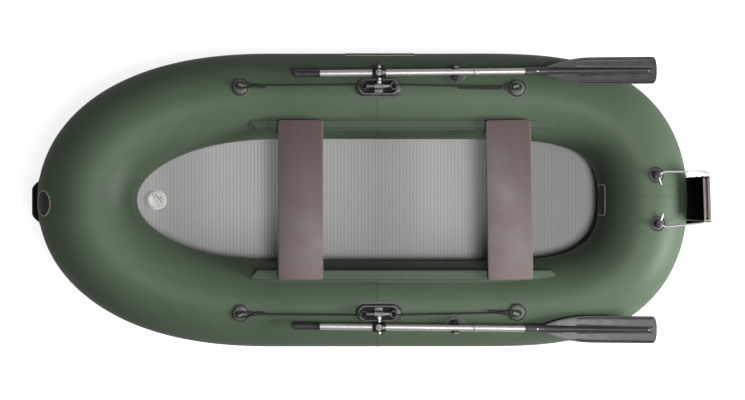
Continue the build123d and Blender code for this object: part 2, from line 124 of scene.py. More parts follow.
lamp_aim = Vector((0, 0, 0.2))
for name, place, width, power in (
    ("stern_lamp", (-5.93, 1.48, 2.42), 2.4, 520), ("high_lamp", (-1.2, 0.9, 5.9), 1.6, 190)
):
    lamp_data = bpy.data.lights.new(name, "AREA")
    lamp_data.shape = "RECTANGLE"
    lamp_data.size = lamp_data.size_y = width
    lamp_data.energy = power
    lamp = bpy.data.objects.new(name, lamp_data)
    scene.collection.objects.link(lamp)
    lamp.location = place
    lamp.rotation_euler = (lamp_aim - Vector(place)).to_track_quat("-Z", "Y").to_euler()
    lamp.visible_camera = False


# ---- the two air chambers ----
# The buoyancy tube is calendered PVC cloth, cut in panels, welded, and blown up hard. One chamber
# closes the bow and the other the stern. They meet at a bulkhead a little aft of the middle.
half_beam = 0.478
side_radius = 0.196
side_height = 0.1999
seam_x = -0.049
bow_form = {
    "start": 0.370, "end": 1.264, "radius": 0.218, "rise": 0.111,
    "length_power": 2.44, "width_power": 2.05,
}
stern_form = {
    "start": -0.360, "end": -1.262, "radius": 0.199, "rise": 0.020,
    "length_power": 4.0, "width_power": 2.27,
}
green = (0.083, 0.122, 0.076, 1)


def new_tree(name, kind, inputs, outputs):
    """An empty node group with named sockets. An input is (name, type) or (name, type, value)."""
    tree = bpy.data.node_groups.new(name, kind)
    for socket_name, socket_type, *value in inputs:
        socket = tree.interface.new_socket(
            socket_name, in_out="INPUT", socket_type="NodeSocket" + socket_type
        )
        if value:
            socket.default_value = value[0]
    for socket_name, socket_type in outputs:
        tree.interface.new_socket(
            socket_name, in_out="OUTPUT", socket_type="NodeSocket" + socket_type
        )
    return tree, add_node(tree, "NodeGroupInput").outputs


def grow(name, seed, tree, **values):
    """The plain mesh that a node tree makes from a seed mesh."""
    holder = bpy.data.objects.new(name + "_seed", seed)
    scene.collection.objects.link(holder)
    modifier = holder.modifiers.new("grow", "NODES")
    modifier.node_group = tree
    for socket in tree.interface.items_tree:
        if socket.in_out == "INPUT" and socket.name in values:
            modifier[socket.identifier] = values[socket.name]
    graph = bpy.context.evaluated_depsgraph_get()
    mesh = bpy.data.meshes.new_from_object(holder.evaluated_get(graph))
    bpy.data.objects.remove(holder)
    piece = bpy.data.objects.new(name, mesh)
    scene.collection.objects.link(piece)
    return piece


def maths(tree, operation, first, second=0.0):
    """One sum of two numbers or sockets."""
    return add_node(tree, "ShaderNodeMath", {0: first, 1: second}, operation=operation).outputs[0]


def scaled(tree, vector, factor):
    """A colour or a direction times a number."""
    sockets = {0: vector, "Scale": factor}
    return add_node(tree, "ShaderNodeVectorMath", sockets, operation="SCALE").outputs[0]


def noise(tree, place, scale, detail, **sockets):
    """Soft random clouds between 0 and 1."""
    sockets.update({"Vector": place, "Scale": scale, "Detail": detail})
    return add_node(tree, "ShaderNodeTexNoise", sockets).outputs["Fac"]


def swing(tree, value, size):
    """Clouds turned into a number that varies about 0."""
    return maths(tree, "MULTIPLY", maths(tree, "SUBTRACT", value, 0.5), size)


def ramp(tree, value, low, high, to_low=0.0, to_high=1.0):
    """A value carried from one range to another and held at its ends."""
    return add_node(
        tree, "ShaderNodeMapRange",
        {"Value": value, "From Min": low, "From Max": high, "To Min": to_low, "To Max": to_high},
    ).outputs[0]


def blend(tree, mask, first, second):
    """The first colour where a mask is 0 and the second where it is 1."""
    sockets = {0: mask, 6: first, 7: second}
    return add_node(tree, "ShaderNodeMix", sockets, data_type="RGBA").outputs[2]


def axes(tree, vector):
    """A vector's three numbers."""
    return add_node(tree, "ShaderNodeSeparateXYZ", {0: vector}).outputs


def kept(tree, geometry, name, value):
    """A mesh or curve that keeps a value at each point under a name."""
    sockets = {"Geometry": geometry, "Name": name, "Value": value}
    return add_node(
        tree, "GeometryNodeStoreNamedAttribute", sockets, data_type="FLOAT", domain="POINT"
    ).outputs[0]


def dress(tree, geometry, material, socket):
    """The end of a mesh tree: smooth shading, one real mesh and its material."""
    for kind in ("SetShadeSmooth", "RealizeInstances"):
        geometry = add_node(tree, "GeometryNode" + kind, {"Geometry": geometry}).outputs[0]
    dressed = add_node(
        tree, "GeometryNodeSetMaterial", {"Geometry": geometry, "Material": material}
    )
    add_node(tree, "NodeGroupOutput", {socket: dressed.outputs[0]})


def along(points):
    """Distance along a line of points."""
    steps = np.linalg.norm(np.diff(points, axis=0), axis=1)
    return np.concatenate([[0], np.cumsum(steps)])


def chamber_line(form, count):
    """A chamber's centreline: place, girth radius, outward and upward directions, and the
    distance from the middle of its curved end, positive to port."""
    angle = np.linspace(0, math.pi / 2, 2000)
    x = form["start"] + (form["end"] - form["start"]) * np.sin(angle) ** (2 / form["length_power"])
    y = half_beam * np.abs(np.cos(angle)) ** (2 / form["width_power"])
    port = np.vstack([[seam_x, half_beam], np.column_stack([x, y])])
    port[-1] = (form["end"], 0)
    plan = np.vstack([port, port[-2::-1] * (1, -1)])
    far = along(plan)
    even = np.linspace(0, far[-1], count)
    x, y = np.interp(even, far, plan[:, 0]), np.interp(even, far, plan[:, 1])
    share = np.clip((x - form["start"]) / (form["end"] - form["start"]), 0, 1)
    centre = np.column_stack([x, y, side_height + form["rise"] * share**2])
    girth = side_radius + (form["radius"] - side_radius) * share**1.5
    if form is stern_form:
        centre, girth = centre[::-1], girth[::-1]
    tangent = np.gradient(centre, axis=0)
    tangent[0] = centre[1] - centre[0]
    tangent[-1] = centre[-1] - centre[-2]
    tangent /= np.linalg.norm(tangent, axis=1)[:, None]
    outward = np.cross((0, 0, 1), tangent)
    outward /= np.linalg.norm(outward, axis=1)[:, None]
    distance = along(centre)
    distance = distance - distance[-1] / 2
    if form is bow_form:
        distance = -distance
    return {
        "centre": centre, "girth": girth, "outward": outward,
        "upward": np.cross(tangent, outward), "distance": distance, "tangent": tangent,
    }


bow_line = chamber_line(bow_form, 281)
stern_line = chamber_line(stern_form, 281)


def on_skin(line, distance, roll, lift=0.0):
    """Point on a chamber's skin: distance along it, roll in radians outboard from its top."""
    order = np.argsort(line["distance"])
    known = line["distance"][order]

    def at(values):
        values = values[order]
        if values.ndim == 1:
            return np.interp(distance, known, values)
        return np.array([np.interp(distance, known, values[:, axis]) for axis in range(3)])

    outward, upward = at(line["outward"]), at(line["upward"])
    turned = math.cos(roll) * upward + math.sin(roll) * outward
    return at(line["centre"]) + (at(line["girth"]) + lift) * turned / np.linalg.norm(turned)


skin_tree, given = new_tree(
    "skin round a line", "GeometryNodeTree",
    [
        ("Line", "Geometry"), ("Sides", "Int", 96), ("Closed Ends", "Bool", True),
        ("Ripple", "Float", 0.0), ("Material", "Material"),
    ],
    [("Skin", "Geometry")],
)
rail_curve = add_node(skin_tree, "GeometryNodeMeshToCurve", {"Mesh": given["Line"]})
upright = add_node(
    skin_tree, "GeometryNodeSetCurveNormal", {"Curve": rail_curve.outputs[0]}, mode="Z_UP"
)
ring = add_node(
    skin_tree, "GeometryNodeCurvePrimitiveCircle", {"Resolution": given["Sides"], "Radius": 1.0}
)
spline = add_node(skin_tree, "GeometryNodeSplineParameter").outputs
girth_value = add_node(
    skin_tree, "GeometryNodeInputNamedAttribute", {"Name": "girth"}, data_type="FLOAT"
)
swept = add_node(
    skin_tree, "GeometryNodeCurveToMesh",
    {
        "Curve": kept(skin_tree, upright.outputs[0], "run", spline["Length"]),
        "Profile Curve": kept(skin_tree, ring.outputs[0], "turn", spline["Factor"]),
        "Scale": girth_value.outputs[0], "Fill Caps": given["Closed Ends"],
    },
)
place = add_node(skin_tree, "GeometryNodeInputPosition").outputs[0]
facing = add_node(skin_tree, "GeometryNodeInputNormal").outputs[0]
swell = swing(skin_tree, noise(skin_tree, place, 5.0, 2.0), given["Ripple"])
rippled = add_node(
    skin_tree, "GeometryNodeSetPosition",
    {"Geometry": swept.outputs[0], "Offset": scaled(skin_tree, facing, swell)},
)
dress(skin_tree, rippled.outputs[0], given["Material"], "Skin")


def line_mesh(name, points, girths):
    """A bare line of edges that carries the skin's radius at each of its points."""
    mesh = bpy.data.meshes.new(name)
    edges = [(i, i + 1) for i in range(len(points) - 1)]
    mesh.from_pydata([tuple(point) for point in points], edges, [])
    radius = mesh.attributes.new("girth", "FLOAT", "POINT")
    radius.data.foreach_set("value", np.array(girths, np.float32))
    return mesh


# What most effects groups put out for their material: a colour, a roughness and a height.
effect_outputs = [("Colour", "Color"), ("Roughness", "Float"), ("Height", "Float")]


def put_out(tree, colour, roughness, height):
    """The end of an effects group."""
    sockets = {"Colour": colour, "Roughness": roughness, "Height": height}
    add_node(tree, "NodeGroupOutput", sockets)


# Cloth effects that every PVC piece shares: tone, scuffs and the weave under the coating.
cloth_tree, given = new_tree(
    "coated cloth", "ShaderNodeTree",
    [
        ("Place", "Vector"), ("Weave Place", "Vector"), ("Colour", "Color", green),
        ("Tone", "Float", 0.10), ("Threads", "Float", 700.0), ("Dust", "Float", 0.03),
        ("Roughness", "Float", 0.42),
    ],
    effect_outputs,
)
clouds = noise(cloth_tree, given["Place"], 3.2, 5.0)
grime = noise(cloth_tree, given["Place"], 38.0, 8.0, Roughness=0.62)
tone_low = maths(cloth_tree, "SUBTRACT", 1.0, given["Tone"])
tone_high = maths(cloth_tree, "ADD", 1.0, given["Tone"])
toned = scaled(cloth_tree, given["Colour"], ramp(cloth_tree, clouds, 0.3, 0.7, tone_low, tone_high))
specks = ramp(cloth_tree, grime, 0.52, 0.78, 0.0, given["Dust"])
uneven = maths(cloth_tree, "ADD", swing(cloth_tree, grime, 0.22), swing(cloth_tree, clouds, 0.14))
threads = [
    maths(cloth_tree, "SINE", maths(cloth_tree, "MULTIPLY", across, given["Threads"]))
    for across in axes(cloth_tree, given["Weave Place"])[:2]
]
woven = maths(cloth_tree, "MULTIPLY", maths(cloth_tree, "MULTIPLY", *threads), 0.25)
put_out(
    cloth_tree, blend(cloth_tree, specks, toned, (0.42, 0.42, 0.38, 1)),
    maths(cloth_tree, "ADD", given["Roughness"], uneven),
    maths(cloth_tree, "ADD", woven, maths(cloth_tree, "MULTIPLY", grime, 0.6)),
)


def finish_material(name):
    """A new material with its tree, its Principled shader and its output."""
    material = bpy.data.materials.new(name)
    material.use_nodes = True
    tree = material.node_tree
    return material, tree, tree.nodes["Principled BSDF"]


def finished(name, group, relief, depth, values=None, plain=None, uv=None, mapped="Place"):
    """A material from an effects group, in Object coordinates. With a uv, the place that goes
    into the mapped socket comes from the piece's own map."""
    material, tree, shader = finish_material(name)
    local = add_node(tree, "ShaderNodeTexCoord").outputs["Object"]
    place = add_node(tree, "ShaderNodeUVMap", uv_map=uv).outputs[0] if uv else local
    effects = add_node(
        tree, "ShaderNodeGroup", {"Place": local, mapped: place, **(values or {})},
        node_tree=group,
    ).outputs
    tree.links.new(effects["Colour"], shader.inputs["Base Color"])
    tree.links.new(effects["Roughness"], shader.inputs["Roughness"])
    bump = add_node(
        tree, "ShaderNodeBump",
        {"Height": effects["Height"], "Strength": relief, "Distance": depth},
    )
    tree.links.new(bump.outputs[0], shader.inputs["Normal"])
    for socket, value in (plain or {}).items():
        shader.inputs[socket].default_value = value
    return material


def cloth_material(
    name, colour, weave_uv=None, tone=0.08, dust=0.03, roughness=0.50, bump=0.35, gloss=1.0
):
    """PVC-coated cloth. Its weave follows the piece's own map, or its Object coordinates."""
    return finished(
        name, cloth_tree, bump, 0.0004,
        {"Colour": colour, "Tone": tone, "Dust": dust, "Roughness": roughness},
        {"IOR": 1.2, "Specular IOR Level": gloss}, weave_uv, "Weave Place",
    )


def read(rows, field, kind):
    """One field of every row of a mesh, as an array."""
    values = np.zeros(len(rows), kind)
    rows.foreach_get(field, values)
    return values


def skin_map(piece, radius=side_radius):
    """Writes the piece's own map from the run and turn that its tree kept: metres both ways."""
    mesh = piece.data
    corners = read(mesh.loops, "vertex_index", np.int32)
    run_corner = read(mesh.attributes["run"].data, "value", np.float32)[corners]
    turn_corner = read(mesh.attributes["turn"].data, "value", np.float32)[corners]
    starts = read(mesh.polygons, "loop_start", np.int32)
    for first, count in zip(starts, read(mesh.polygons, "loop_total", np.int32)):
        face_turn = turn_corner[first:first + count]
        if count == 4 and face_turn.max() - face_turn.min() > 0.5:
            turn_corner[first:first + count] = np.where(face_turn < 0.5, face_turn + 1, face_turn)
    uv = np.column_stack([run_corner, turn_corner * 2 * math.pi * radius])
    layer = mesh.uv_layers.new(name="skin_map")
    layer.data.foreach_set("uv", uv.astype(np.float32).ravel())


# Painted shade: the inner walls are drawn darker than the tops, the more they face in towards the
# middle of the boat.
wall_tree, given = new_tree(
    "inner walls", "ShaderNodeTree",
    [
        ("Place", "Vector"), ("Facing", "Vector"), ("Colour", "Color", green),
        ("Darkest", "Float", 0.42),
    ],
    [("Colour", "Color")],
)
level_place = add_node(
    wall_tree, "ShaderNodeVectorMath", {0: given["Place"], 1: (-1, -1, 0)}, operation="MULTIPLY"
)
inward = add_node(
    wall_tree, "ShaderNodeVectorMath", {0: level_place.outputs[0]}, operation="NORMALIZE"
)
facing_in = add_node(
    wall_tree, "ShaderNodeVectorMath", {0: inward.outputs[0], 1: given["Facing"]},
    operation="DOT_PRODUCT",
)
wall_shade = ramp(wall_tree, facing_in.outputs["Value"], 0.45, 1.0, 1.0, given["Darkest"])
add_node(wall_tree, "NodeGroupOutput", {"Colour": scaled(wall_tree, given["Colour"], wall_shade)})


def base_colour(material):
    """A material's tree, its Base Color socket and what feeds that now."""
    tree = material.node_tree
    socket = tree.nodes["Principled BSDF"].inputs["Base Color"]
    return tree, socket, socket.links[0].from_socket


def shaded_walls(material):
    """Adds painted shade on the inner walls to a cloth of the tubes."""
    tree, socket, unshaded = base_colour(material)
    own = add_node(tree, "ShaderNodeTexCoord").outputs
    wall = add_node(
        tree, "ShaderNodeGroup",
        {"Place": own["Object"], "Facing": own["Normal"], "Colour": unshaded}, node_tree=wall_tree,
    )
    tree.links.new(wall.outputs["Colour"], socket)
    return material


def fit(piece, body, slot, *nodes):
    """Fixes a piece to a body and hides the plain nodes it stands for. Its slot is not used."""
    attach(piece, body)
    if nodes:
        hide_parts(*nodes)


hull_cloth = shaded_walls(cloth_material("hull_cloth", green, weave_uv="skin_map"))
for name, line, node in (
    ("bow_chamber_skin", bow_line, "tube_bow"), ("stern_chamber_skin", stern_line, "tube_stern")
):
    seed = line_mesh(name, line["centre"], line["girth"])
    chamber_skin = grow(name, seed, skin_tree, Sides=96, Ripple=0.0016, Material=hull_cloth)
    skin_map(chamber_skin)
    fit(chamber_skin, "hull", "hull_pvc", node)


# ---- welded seams ----
# Panels overlap or are taped where they join: a band round the tube over each bulkhead, a wide
# doubler at the bow, a narrow band at the stern, and a long tape where the bottom meets the tube.
tape_green = (0.078, 0.116, 0.072, 1)
tape_cloth = shaded_walls(cloth_material("tape_cloth", tape_green, weave_uv="skin_map"))


def band(name, centre, girth, rise):
    """A band of cloth round the tube, sunk into it at both edges."""
    lifted = np.full(len(centre), rise)
    lifted[0] = lifted[-1] = -0.0006
    piece = grow(
        name, line_mesh(name, centre, girth + lifted), skin_tree,
        Sides=96, Material=tape_cloth, **{"Closed Ends": False},
    )
    skin_map(piece)
    fit(piece, "hull", "hull_pvc")


sides = (("port", 1), ("starboard", -1))
for side, sign in sides:
    centre = [
        (x, sign * half_beam, side_height) for x in (-0.0635, -0.0595, -0.0510, -0.0425, -0.0385)
    ]
    band(f"bulkhead_tape_{side}", centre, side_radius, 0.0005)


def grid_faces(rows, columns, flipped=False):
    """Faces of a sheet whose points come row by row."""
    faces = []
    for row in range(rows - 1):
        for corner in range(row * columns, (row + 1) * columns - 1):
            ring = (corner, corner + 1, corner + columns + 1, corner + columns)
            faces.append(ring[:1] + ring[:0:-1] if flipped else ring)
    return faces


def cloth_sheet(name, points, columns):
    """A smooth sheet of tape on the hull, from points that come row by row."""
    mesh = bpy.data.meshes.new(name)
    faces = grid_faces(len(points) // columns, columns)
    mesh.from_pydata([tuple(map(float, point)) for point in points], [], faces)
    mesh.materials.append(inner_tape_cloth)
    mesh.validate()
    mesh.shade_smooth()
    piece = bpy.data.objects.new(name, mesh)
    scene.collection.objects.link(piece)
    fit(piece, "hull", "hull_pvc")


def end_seat(line, roll, across=0.0):
    """Places points on a chamber's curved end round a seat: to port, round the tube and out. The
    skin is wider outside the curve than inside it, and the distance along it allows for that."""
    girth = line["girth"][len(line["girth"]) // 2]
    widths = {}
    span = 0.1

    def place(a, b, lift):
        turned_to = math.radians(roll) + b / girth
        if turned_to not in widths:
            gap = on_skin(line, span / 2, turned_to) - on_skin(line, -span / 2, turned_to)
            widths[turned_to] = np.linalg.norm(gap) / span
        return on_skin(line, (across + a) / widths[turned_to], turned_to, lift)

    return place


tape_edge = 0.0012


def end_strip(name, line, half_width, across, low_roll, high_roll, rise):
    """A strip of cloth round the tube at the middle of a curved end, tucked in at its edges."""
    girth = line["girth"][len(line["girth"]) // 2]
    seat = end_seat(line, 0, across)
    level = np.linspace(-half_width + tape_edge, half_width - tape_edge, 13)
    offsets = [-half_width - 0.0008, -half_width, *level, half_width, half_width + 0.0008]
    lifts = [-tape_edge] + [rise] * 15 + [-tape_edge]
    rolls = np.radians(np.linspace(low_roll, high_roll, 61)) * girth
    points = [seat(a, b, lift) for b in rolls for a, lift in zip(offsets, lifts)]
    cloth_sheet(name, points, len(offsets))


def long_tape(name, line, low_roll, high_roll):
    """A thin strip of cloth along the whole inside of a chamber between two rolls."""
    stations = np.sort(line["distance"])[1:-1]
    middle_roll = (low_roll + high_roll) / 2
    rolls = np.radians([low_roll, low_roll + 0.25, middle_roll, high_roll - 0.25, high_roll])
    lifts = [-tape_edge, 0.0009, 0.0009, 0.0009, -tape_edge]
    points = [on_skin(line, s, roll, lift) for s in stations for roll, lift in zip(rolls, lifts)]
    cloth_sheet(name, points, len(rolls))


inner_tape_cloth = shaded_walls(cloth_material("inner_tape_cloth", tape_green))
long_tape("bow_inner_tape", bow_line, -130, -78)
long_tape("stern_inner_tape", stern_line, -130, -92)
end_strip("bow_doubler", bow_line, 0.078, -0.006, -75, 100, 0.0002)
end_strip("stern_tape", stern_line, 0.0115, -0.010, -75, 100, 0.0004)


# ---- bottom skin ----
# One flat sheet of heavier PVC cloth, glued round the underside of the tube.
def refinish(node, material):
    """Gives a plain node, whose shape is right, its real material."""
    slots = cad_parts[node].data.materials
    slots.clear()
    slots.append(material)


bottom_cloth = cloth_material("bottom_cloth", (0.055, 0.085, 0.050, 1), roughness=0.5, bump=0.5)
refinish("bottom_skin", bottom_cloth)


# ---- air floor ----
# A blown-up mat of ribbed drop-stitch cloth. It lies loose on the bottom skin and its rounded
# edges tuck in under the tube.
rib_pitch = 0.0163
groove_depth = 0.0006
mat_thickness = 0.080
mat_low = 0.0005
mat_bow = bow_form["end"] - 0.150
mat_inset = 0.156
edge_spacing = 0.002
mat_stern = stern_form["end"] + mat_inset
mat_half_beam = half_beam - mat_inset


def keel_line():
    """Height of the tubes' lowest line along the boat, as two matching arrays."""
    stations = []
    for form, count in ((stern_form, 5), (bow_form, 8)):
        points = []
        for step in range(count + 1):
            x = form["start"] + (form["end"] - form["start"]) * step / count
            share = step / count
            rise_slope = 2 * form["rise"] * share / (form["end"] - form["start"])
            level = 1 / math.sqrt(1 + rise_slope**2)
            girth = side_radius + (form["radius"] - side_radius) * share**1.5
            height = side_height + form["rise"] * share**2
            points.append((x + girth * rise_slope * level, height - girth * level))
        stations += points[::-1] if form is stern_form else points
    known = np.array(stations)
    return known[:, 0], known[:, 1]


keel_x, keel_z = keel_line()
angle = np.linspace(0, math.pi / 2, 1500)
fore_long = np.sin(angle) ** (2 / bow_form["length_power"])
fore_x = bow_form["start"] + (mat_bow - bow_form["start"]) * fore_long
fore_y = mat_half_beam * np.abs(np.cos(angle)) ** (2 / bow_form["width_power"])
under_stern = stern_line["centre"] - mat_inset * stern_line["outward"]
under_stern = under_stern[stern_line["distance"] > -1e-6]
under_stern = under_stern[under_stern[:, 0] < bow_form["start"]]
under_stern = under_stern[np.argsort(under_stern[:, 0], kind="stable")]
outline_x = np.concatenate([under_stern[:, 0], fore_x])
outline_y = np.concatenate([under_stern[:, 1], fore_y])

rows = int(round((mat_bow - mat_stern) / rib_pitch * 6))
row_x = np.linspace(mat_stern, mat_bow, rows + 1)
tuck = 0.004 * np.linspace(0, 1, 9)[1:] ** 2
row_x = np.concatenate([
    [mat_stern], mat_stern + tuck, row_x[3:-3], mat_bow - tuck[::-1], [mat_bow]
])
row_x = np.unique(np.round(row_x, 6))
across = np.sin(np.linspace(-math.pi / 2, math.pi / 2, 33))
width = np.interp(row_x, outline_x, outline_y)
width[0] = width[-1] = 0.0
grid_x = np.repeat(row_x[:, None], len(across), axis=1)
grid_y = width[:, None] * across[None, :]
edge_run = along(np.column_stack([outline_x, outline_y]))
even = np.arange(0, edge_run[-1], edge_spacing)
edge_points = np.column_stack([np.interp(even, edge_run, way) for way in (outline_x, outline_y)])
flat = np.column_stack([grid_x.ravel(), np.abs(grid_y.ravel())])
inside = np.concatenate([
    np.sqrt(((part[:, None, :] - edge_points[None, :, :]) ** 2).sum(2).min(1))
    for part in np.split(flat, range(2000, len(flat), 2000))
]).reshape(grid_x.shape)
inside[:, 0] = inside[:, -1] = 0
inside[0, :] = inside[-1, :] = 0
bulge = mat_thickness / 2
roundness = np.sqrt(np.clip(1 - (1 - np.clip(inside / bulge, 0, 1)) ** 2, 0, 1))
base = np.interp(row_x, keel_x, keel_z)[:, None] + mat_low + bulge
mat_points = np.vstack([
    np.column_stack([grid_x.ravel(), grid_y.ravel(), (base + way * bulge * roundness).ravel()])
    for way in (1, -1)
])


def both_sides(faces, count):
    """Faces of a closed form's upper sheet, each followed by its twin in the lower sheet."""
    twins = [tuple(count + index for index in reversed(face)) for face in faces]
    return [face for pair in zip(faces, twins) for face in pair]


mat_faces = both_sides(grid_faces(len(row_x), len(across), flipped=True), grid_x.size)
mat_seed = bpy.data.meshes.new("mat_seed")
mat_seed.from_pydata([tuple(map(float, point)) for point in mat_points], [], mat_faces)

rib_tree, given = new_tree(
    "cross ribs", "GeometryNodeTree",
    [
        ("Mat", "Geometry"), ("Pitch", "Float", rib_pitch), ("Height", "Float", groove_depth),
        ("Waver", "Float", 0.0012), ("Material", "Material"),
    ],
    [("Mat", "Geometry")],
)
joined = add_node(
    rib_tree, "GeometryNodeMergeByDistance", {"Geometry": given["Mat"], "Distance": 0.00005}
)
place = add_node(rib_tree, "GeometryNodeInputPosition").outputs[0]
facing = add_node(rib_tree, "GeometryNodeInputNormal").outputs[0]
waver = swing(rib_tree, noise(rib_tree, place, 4.0, 1.0), given["Waver"])
station = maths(rib_tree, "ADD", axes(rib_tree, place)[0], waver)
phase = maths(rib_tree, "MULTIPLY", maths(rib_tree, "DIVIDE", station, given["Pitch"]), math.pi)
crown = maths(rib_tree, "POWER", maths(rib_tree, "ABSOLUTE", maths(rib_tree, "SINE", phase)), 0.7)
sunk = maths(rib_tree, "MULTIPLY", maths(rib_tree, "SUBTRACT", crown, 1.0), given["Height"])
on_top = ramp(rib_tree, axes(rib_tree, facing)[2], -0.5, 0.2)
ribbed = add_node(
    rib_tree, "GeometryNodeSetPosition",
    {
        "Geometry": kept(rib_tree, joined.outputs[0], "rib_crown", crown),
        "Offset": scaled(rib_tree, facing, maths(rib_tree, "MULTIPLY", sunk, on_top)),
    },
)
dress(rib_tree, ribbed.outputs[0], given["Material"], "Mat")

mat_cloth = cloth_material(
    "mat_cloth", (0.445, 0.447, 0.440, 1), tone=0.03, dust=0.02, roughness=0.55, bump=0.4
)
# Painted shade between the ribs and a slight painted highlight on their crowns.
tree, socket, unshaded = base_colour(mat_cloth)
crown_mark = add_node(tree, "ShaderNodeAttribute", attribute_name="rib_crown").outputs["Fac"]
groove_shade = ramp(tree, crown_mark, 0.2, 1.0, 0.88, 1.03)
tree.links.new(scaled(tree, unshaded, groove_shade), socket)
air_mat = grow("air_floor_mat", mat_seed, rib_tree, Material=mat_cloth)
fit(air_mat, "hull", "floor_pvc", "air_floor")


# ---- seat rails ----
# A flap of the tube's PVC cloth is glued along each side tube, and its edge is welded round a bead.
# The flap's colour is drawn darker, more so outboard of the glue line, with a painted shadow along
# it.
rail_cloth = cloth_material("rail_cloth", green, tone=0.05)
glue_line_y = 0.3562
tree, socket, unshaded = base_colour(rail_cloth)
own = add_node(tree, "ShaderNodeTexCoord").outputs["Object"]
from_middle = maths(tree, "ABSOLUTE", axes(tree, own)[1])
from_glue = maths(tree, "SUBTRACT", from_middle, glue_line_y)
# Painted shadow along the glue line, and the rail drawn darker, more so outboard of it.
glue_line_shadow = ramp(tree, maths(tree, "ABSOLUTE", from_glue), 0.0, 0.0028, 0.30, 1.0)
flap_tone = ramp(tree, from_glue, -0.001, 0.001, 0.80, 0.70)
rail_tone = maths(tree, "MULTIPLY", glue_line_shadow, flap_tone)
tree.links.new(scaled(tree, unshaded, rail_tone), socket)
for side, sign in sides:
    refinish(f"seat_rail_{side}", rail_cloth)


# ---- benches ----
# Two boards of film-faced birch ply, sawn to length, rounded over and sanded. The brown film
# covers both faces and the edges show the plies. A shoe under each end grips the rail's bead.
def mm(*pairs):
    """Pairs of sizes in millimetres, as metres."""
    return [(first / 1000, second / 1000) for first, second in pairs]


def rounded_box(length, width, corner, steps=7, between=0):
    """Outline of a rounded rectangle, as a function of how far it is drawn in all round. A number
    between adds points along its straight sides, for a piece that bends."""

    def outline(inset):
        half_a, half_b = length / 2 - inset, width / 2 - inset
        radius = max(min(corner - inset, half_a, half_b), 0.0002)
        arcs = []
        for quarter, (way_a, way_b) in enumerate(((1, 1), (-1, 1), (-1, -1), (1, -1))):
            turns = [(quarter + step / steps) * math.pi / 2 for step in range(steps + 1)]
            middle_a, middle_b = way_a * (half_a - radius), way_b * (half_b - radius)
            arcs.append([
                (middle_a + radius * math.cos(turn), middle_b + radius * math.sin(turn))
                for turn in turns
            ])
        ring = []
        for arc, following in zip(arcs, arcs[1:] + arcs[:1]):
            ring += arc
            for step in range(1, between + 1):
                share = step / (between + 1)
                ring.append(tuple(
                    first + (second - first) * share for first, second in zip(arc[-1], following[0])
                ))
        return ring

    outline.reach = min(length, width) / 2
    return outline


def ring_shell(rings):
    """Closed shell through rings of points, its two ends closed."""
    count = len(rings[0])
    faces = [tuple(range(count)), tuple(range((len(rings) - 1) * count, len(rings) * count))]
    for low in range(0, (len(rings) - 1) * count, count):
        for corner in range(count):
            following, high = (corner + 1) % count, low + count
            faces.append((low + corner, low + following, high + following, high + corner))
    return [point for ring in rings for point in ring], faces


def stack(outline, profile, place, fill=0):
    """Closed shell through rings. The profile gives each ring's inset and lift, lowest first;
    fill adds level rings from the last one in towards the middle."""
    profile = list(profile)
    inset, lift = profile[-1]
    for step in range(1, fill + 1):
        profile.append((inset + (outline.reach * 0.97 - inset) * step / fill, lift))
    return ring_shell(
        [[place(a, b, level) for a, b in outline(inward)] for inward, level in profile]
    )


def moulding(name, parts, sign=1):
    """One piece from closed shells, each with its material. A sign of -1 makes the mirror twin."""
    form = bmesh.new()
    materials = []
    for (points, faces), material in parts:
        if material not in materials:
            materials.append(material)
        corners = [form.verts.new((float(x), sign * float(y), float(z))) for x, y, z in points]
        for face in faces:
            made = form.faces.new([corners[index] for index in face])
            made.material_index = materials.index(material)
            made.smooth = True
    bmesh.ops.remove_doubles(form, verts=form.verts, dist=0.000002)
    bmesh.ops.recalc_face_normals(form, faces=form.faces)
    mesh = bpy.data.meshes.new(name)
    form.to_mesh(mesh)
    form.free()
    for material in materials:
        mesh.materials.append(material)
    mesh.set_sharp_from_angle(angle=math.radians(38))
    piece = bpy.data.objects.new(name, mesh)
    scene.collection.objects.link(piece)
    return piece


film_tree, given = new_tree(
    "film face", "ShaderNodeTree",
    [
        ("Place", "Vector"), ("Colour", "Color"), ("Scuffs", "Float", 0.25),
        ("Roughness", "Float", 0.4),
    ],
    effect_outputs,
)
veneer_place = add_node(
    film_tree, "ShaderNodeMapping", {"Vector": given["Place"], "Scale": (95, 6, 95)}
)
scratch_place = add_node(
    film_tree, "ShaderNodeMapping",
    {"Vector": given["Place"], "Rotation": (0, 0, 0.5), "Scale": (420, 30, 60)},
)
veneer = noise(film_tree, veneer_place.outputs[0], 1.0, 4.0)
scratches = noise(film_tree, scratch_place.outputs[0], 1.0, 3.0)
scratched = ramp(film_tree, scratches, 0.66, 0.76, 0.0, given["Scuffs"])
smudged = swing(film_tree, noise(film_tree, given["Place"], 7.0, 5.0), 0.3)
film_toned = scaled(film_tree, given["Colour"], maths(film_tree, "ADD", 1.0, smudged))
put_out(
    film_tree, blend(film_tree, scratched, film_toned, (0.30, 0.25, 0.23, 1)),
    maths(film_tree, "ADD", given["Roughness"], smudged),
    maths(film_tree, "SUBTRACT", maths(film_tree, "MULTIPLY", veneer, 0.5), scratched),
)

ply_tree, given = new_tree(
    "ply edge", "ShaderNodeTree",
    [
        ("Place", "Vector"), ("Across", "Float"), ("Ply", "Float", 0.0014),
        ("Light", "Color"), ("Dark", "Color"),
    ],
    effect_outputs,
)
ply_count = maths(ply_tree, "DIVIDE", given["Across"], given["Ply"])
plies = maths(ply_tree, "MULTIPLY", ply_count, math.pi)
fibres = maths(ply_tree, "SUBTRACT", noise(ply_tree, given["Place"], 900.0, 3.0), 0.5)
stains = noise(ply_tree, given["Place"], 22.0, 4.0)
mottled = maths(ply_tree, "ADD", maths(ply_tree, "SINE", plies), fibres)
ply_colour = blend(ply_tree, ramp(ply_tree, mottled, -0.35, 0.35), given["Dark"], given["Light"])
put_out(
    ply_tree, scaled(ply_tree, ply_colour, ramp(ply_tree, stains, 0.0, 1.0, 0.7, 1.25)),
    ramp(ply_tree, stains, 0.0, 1.0, 0.45, 0.7), mottled,
)


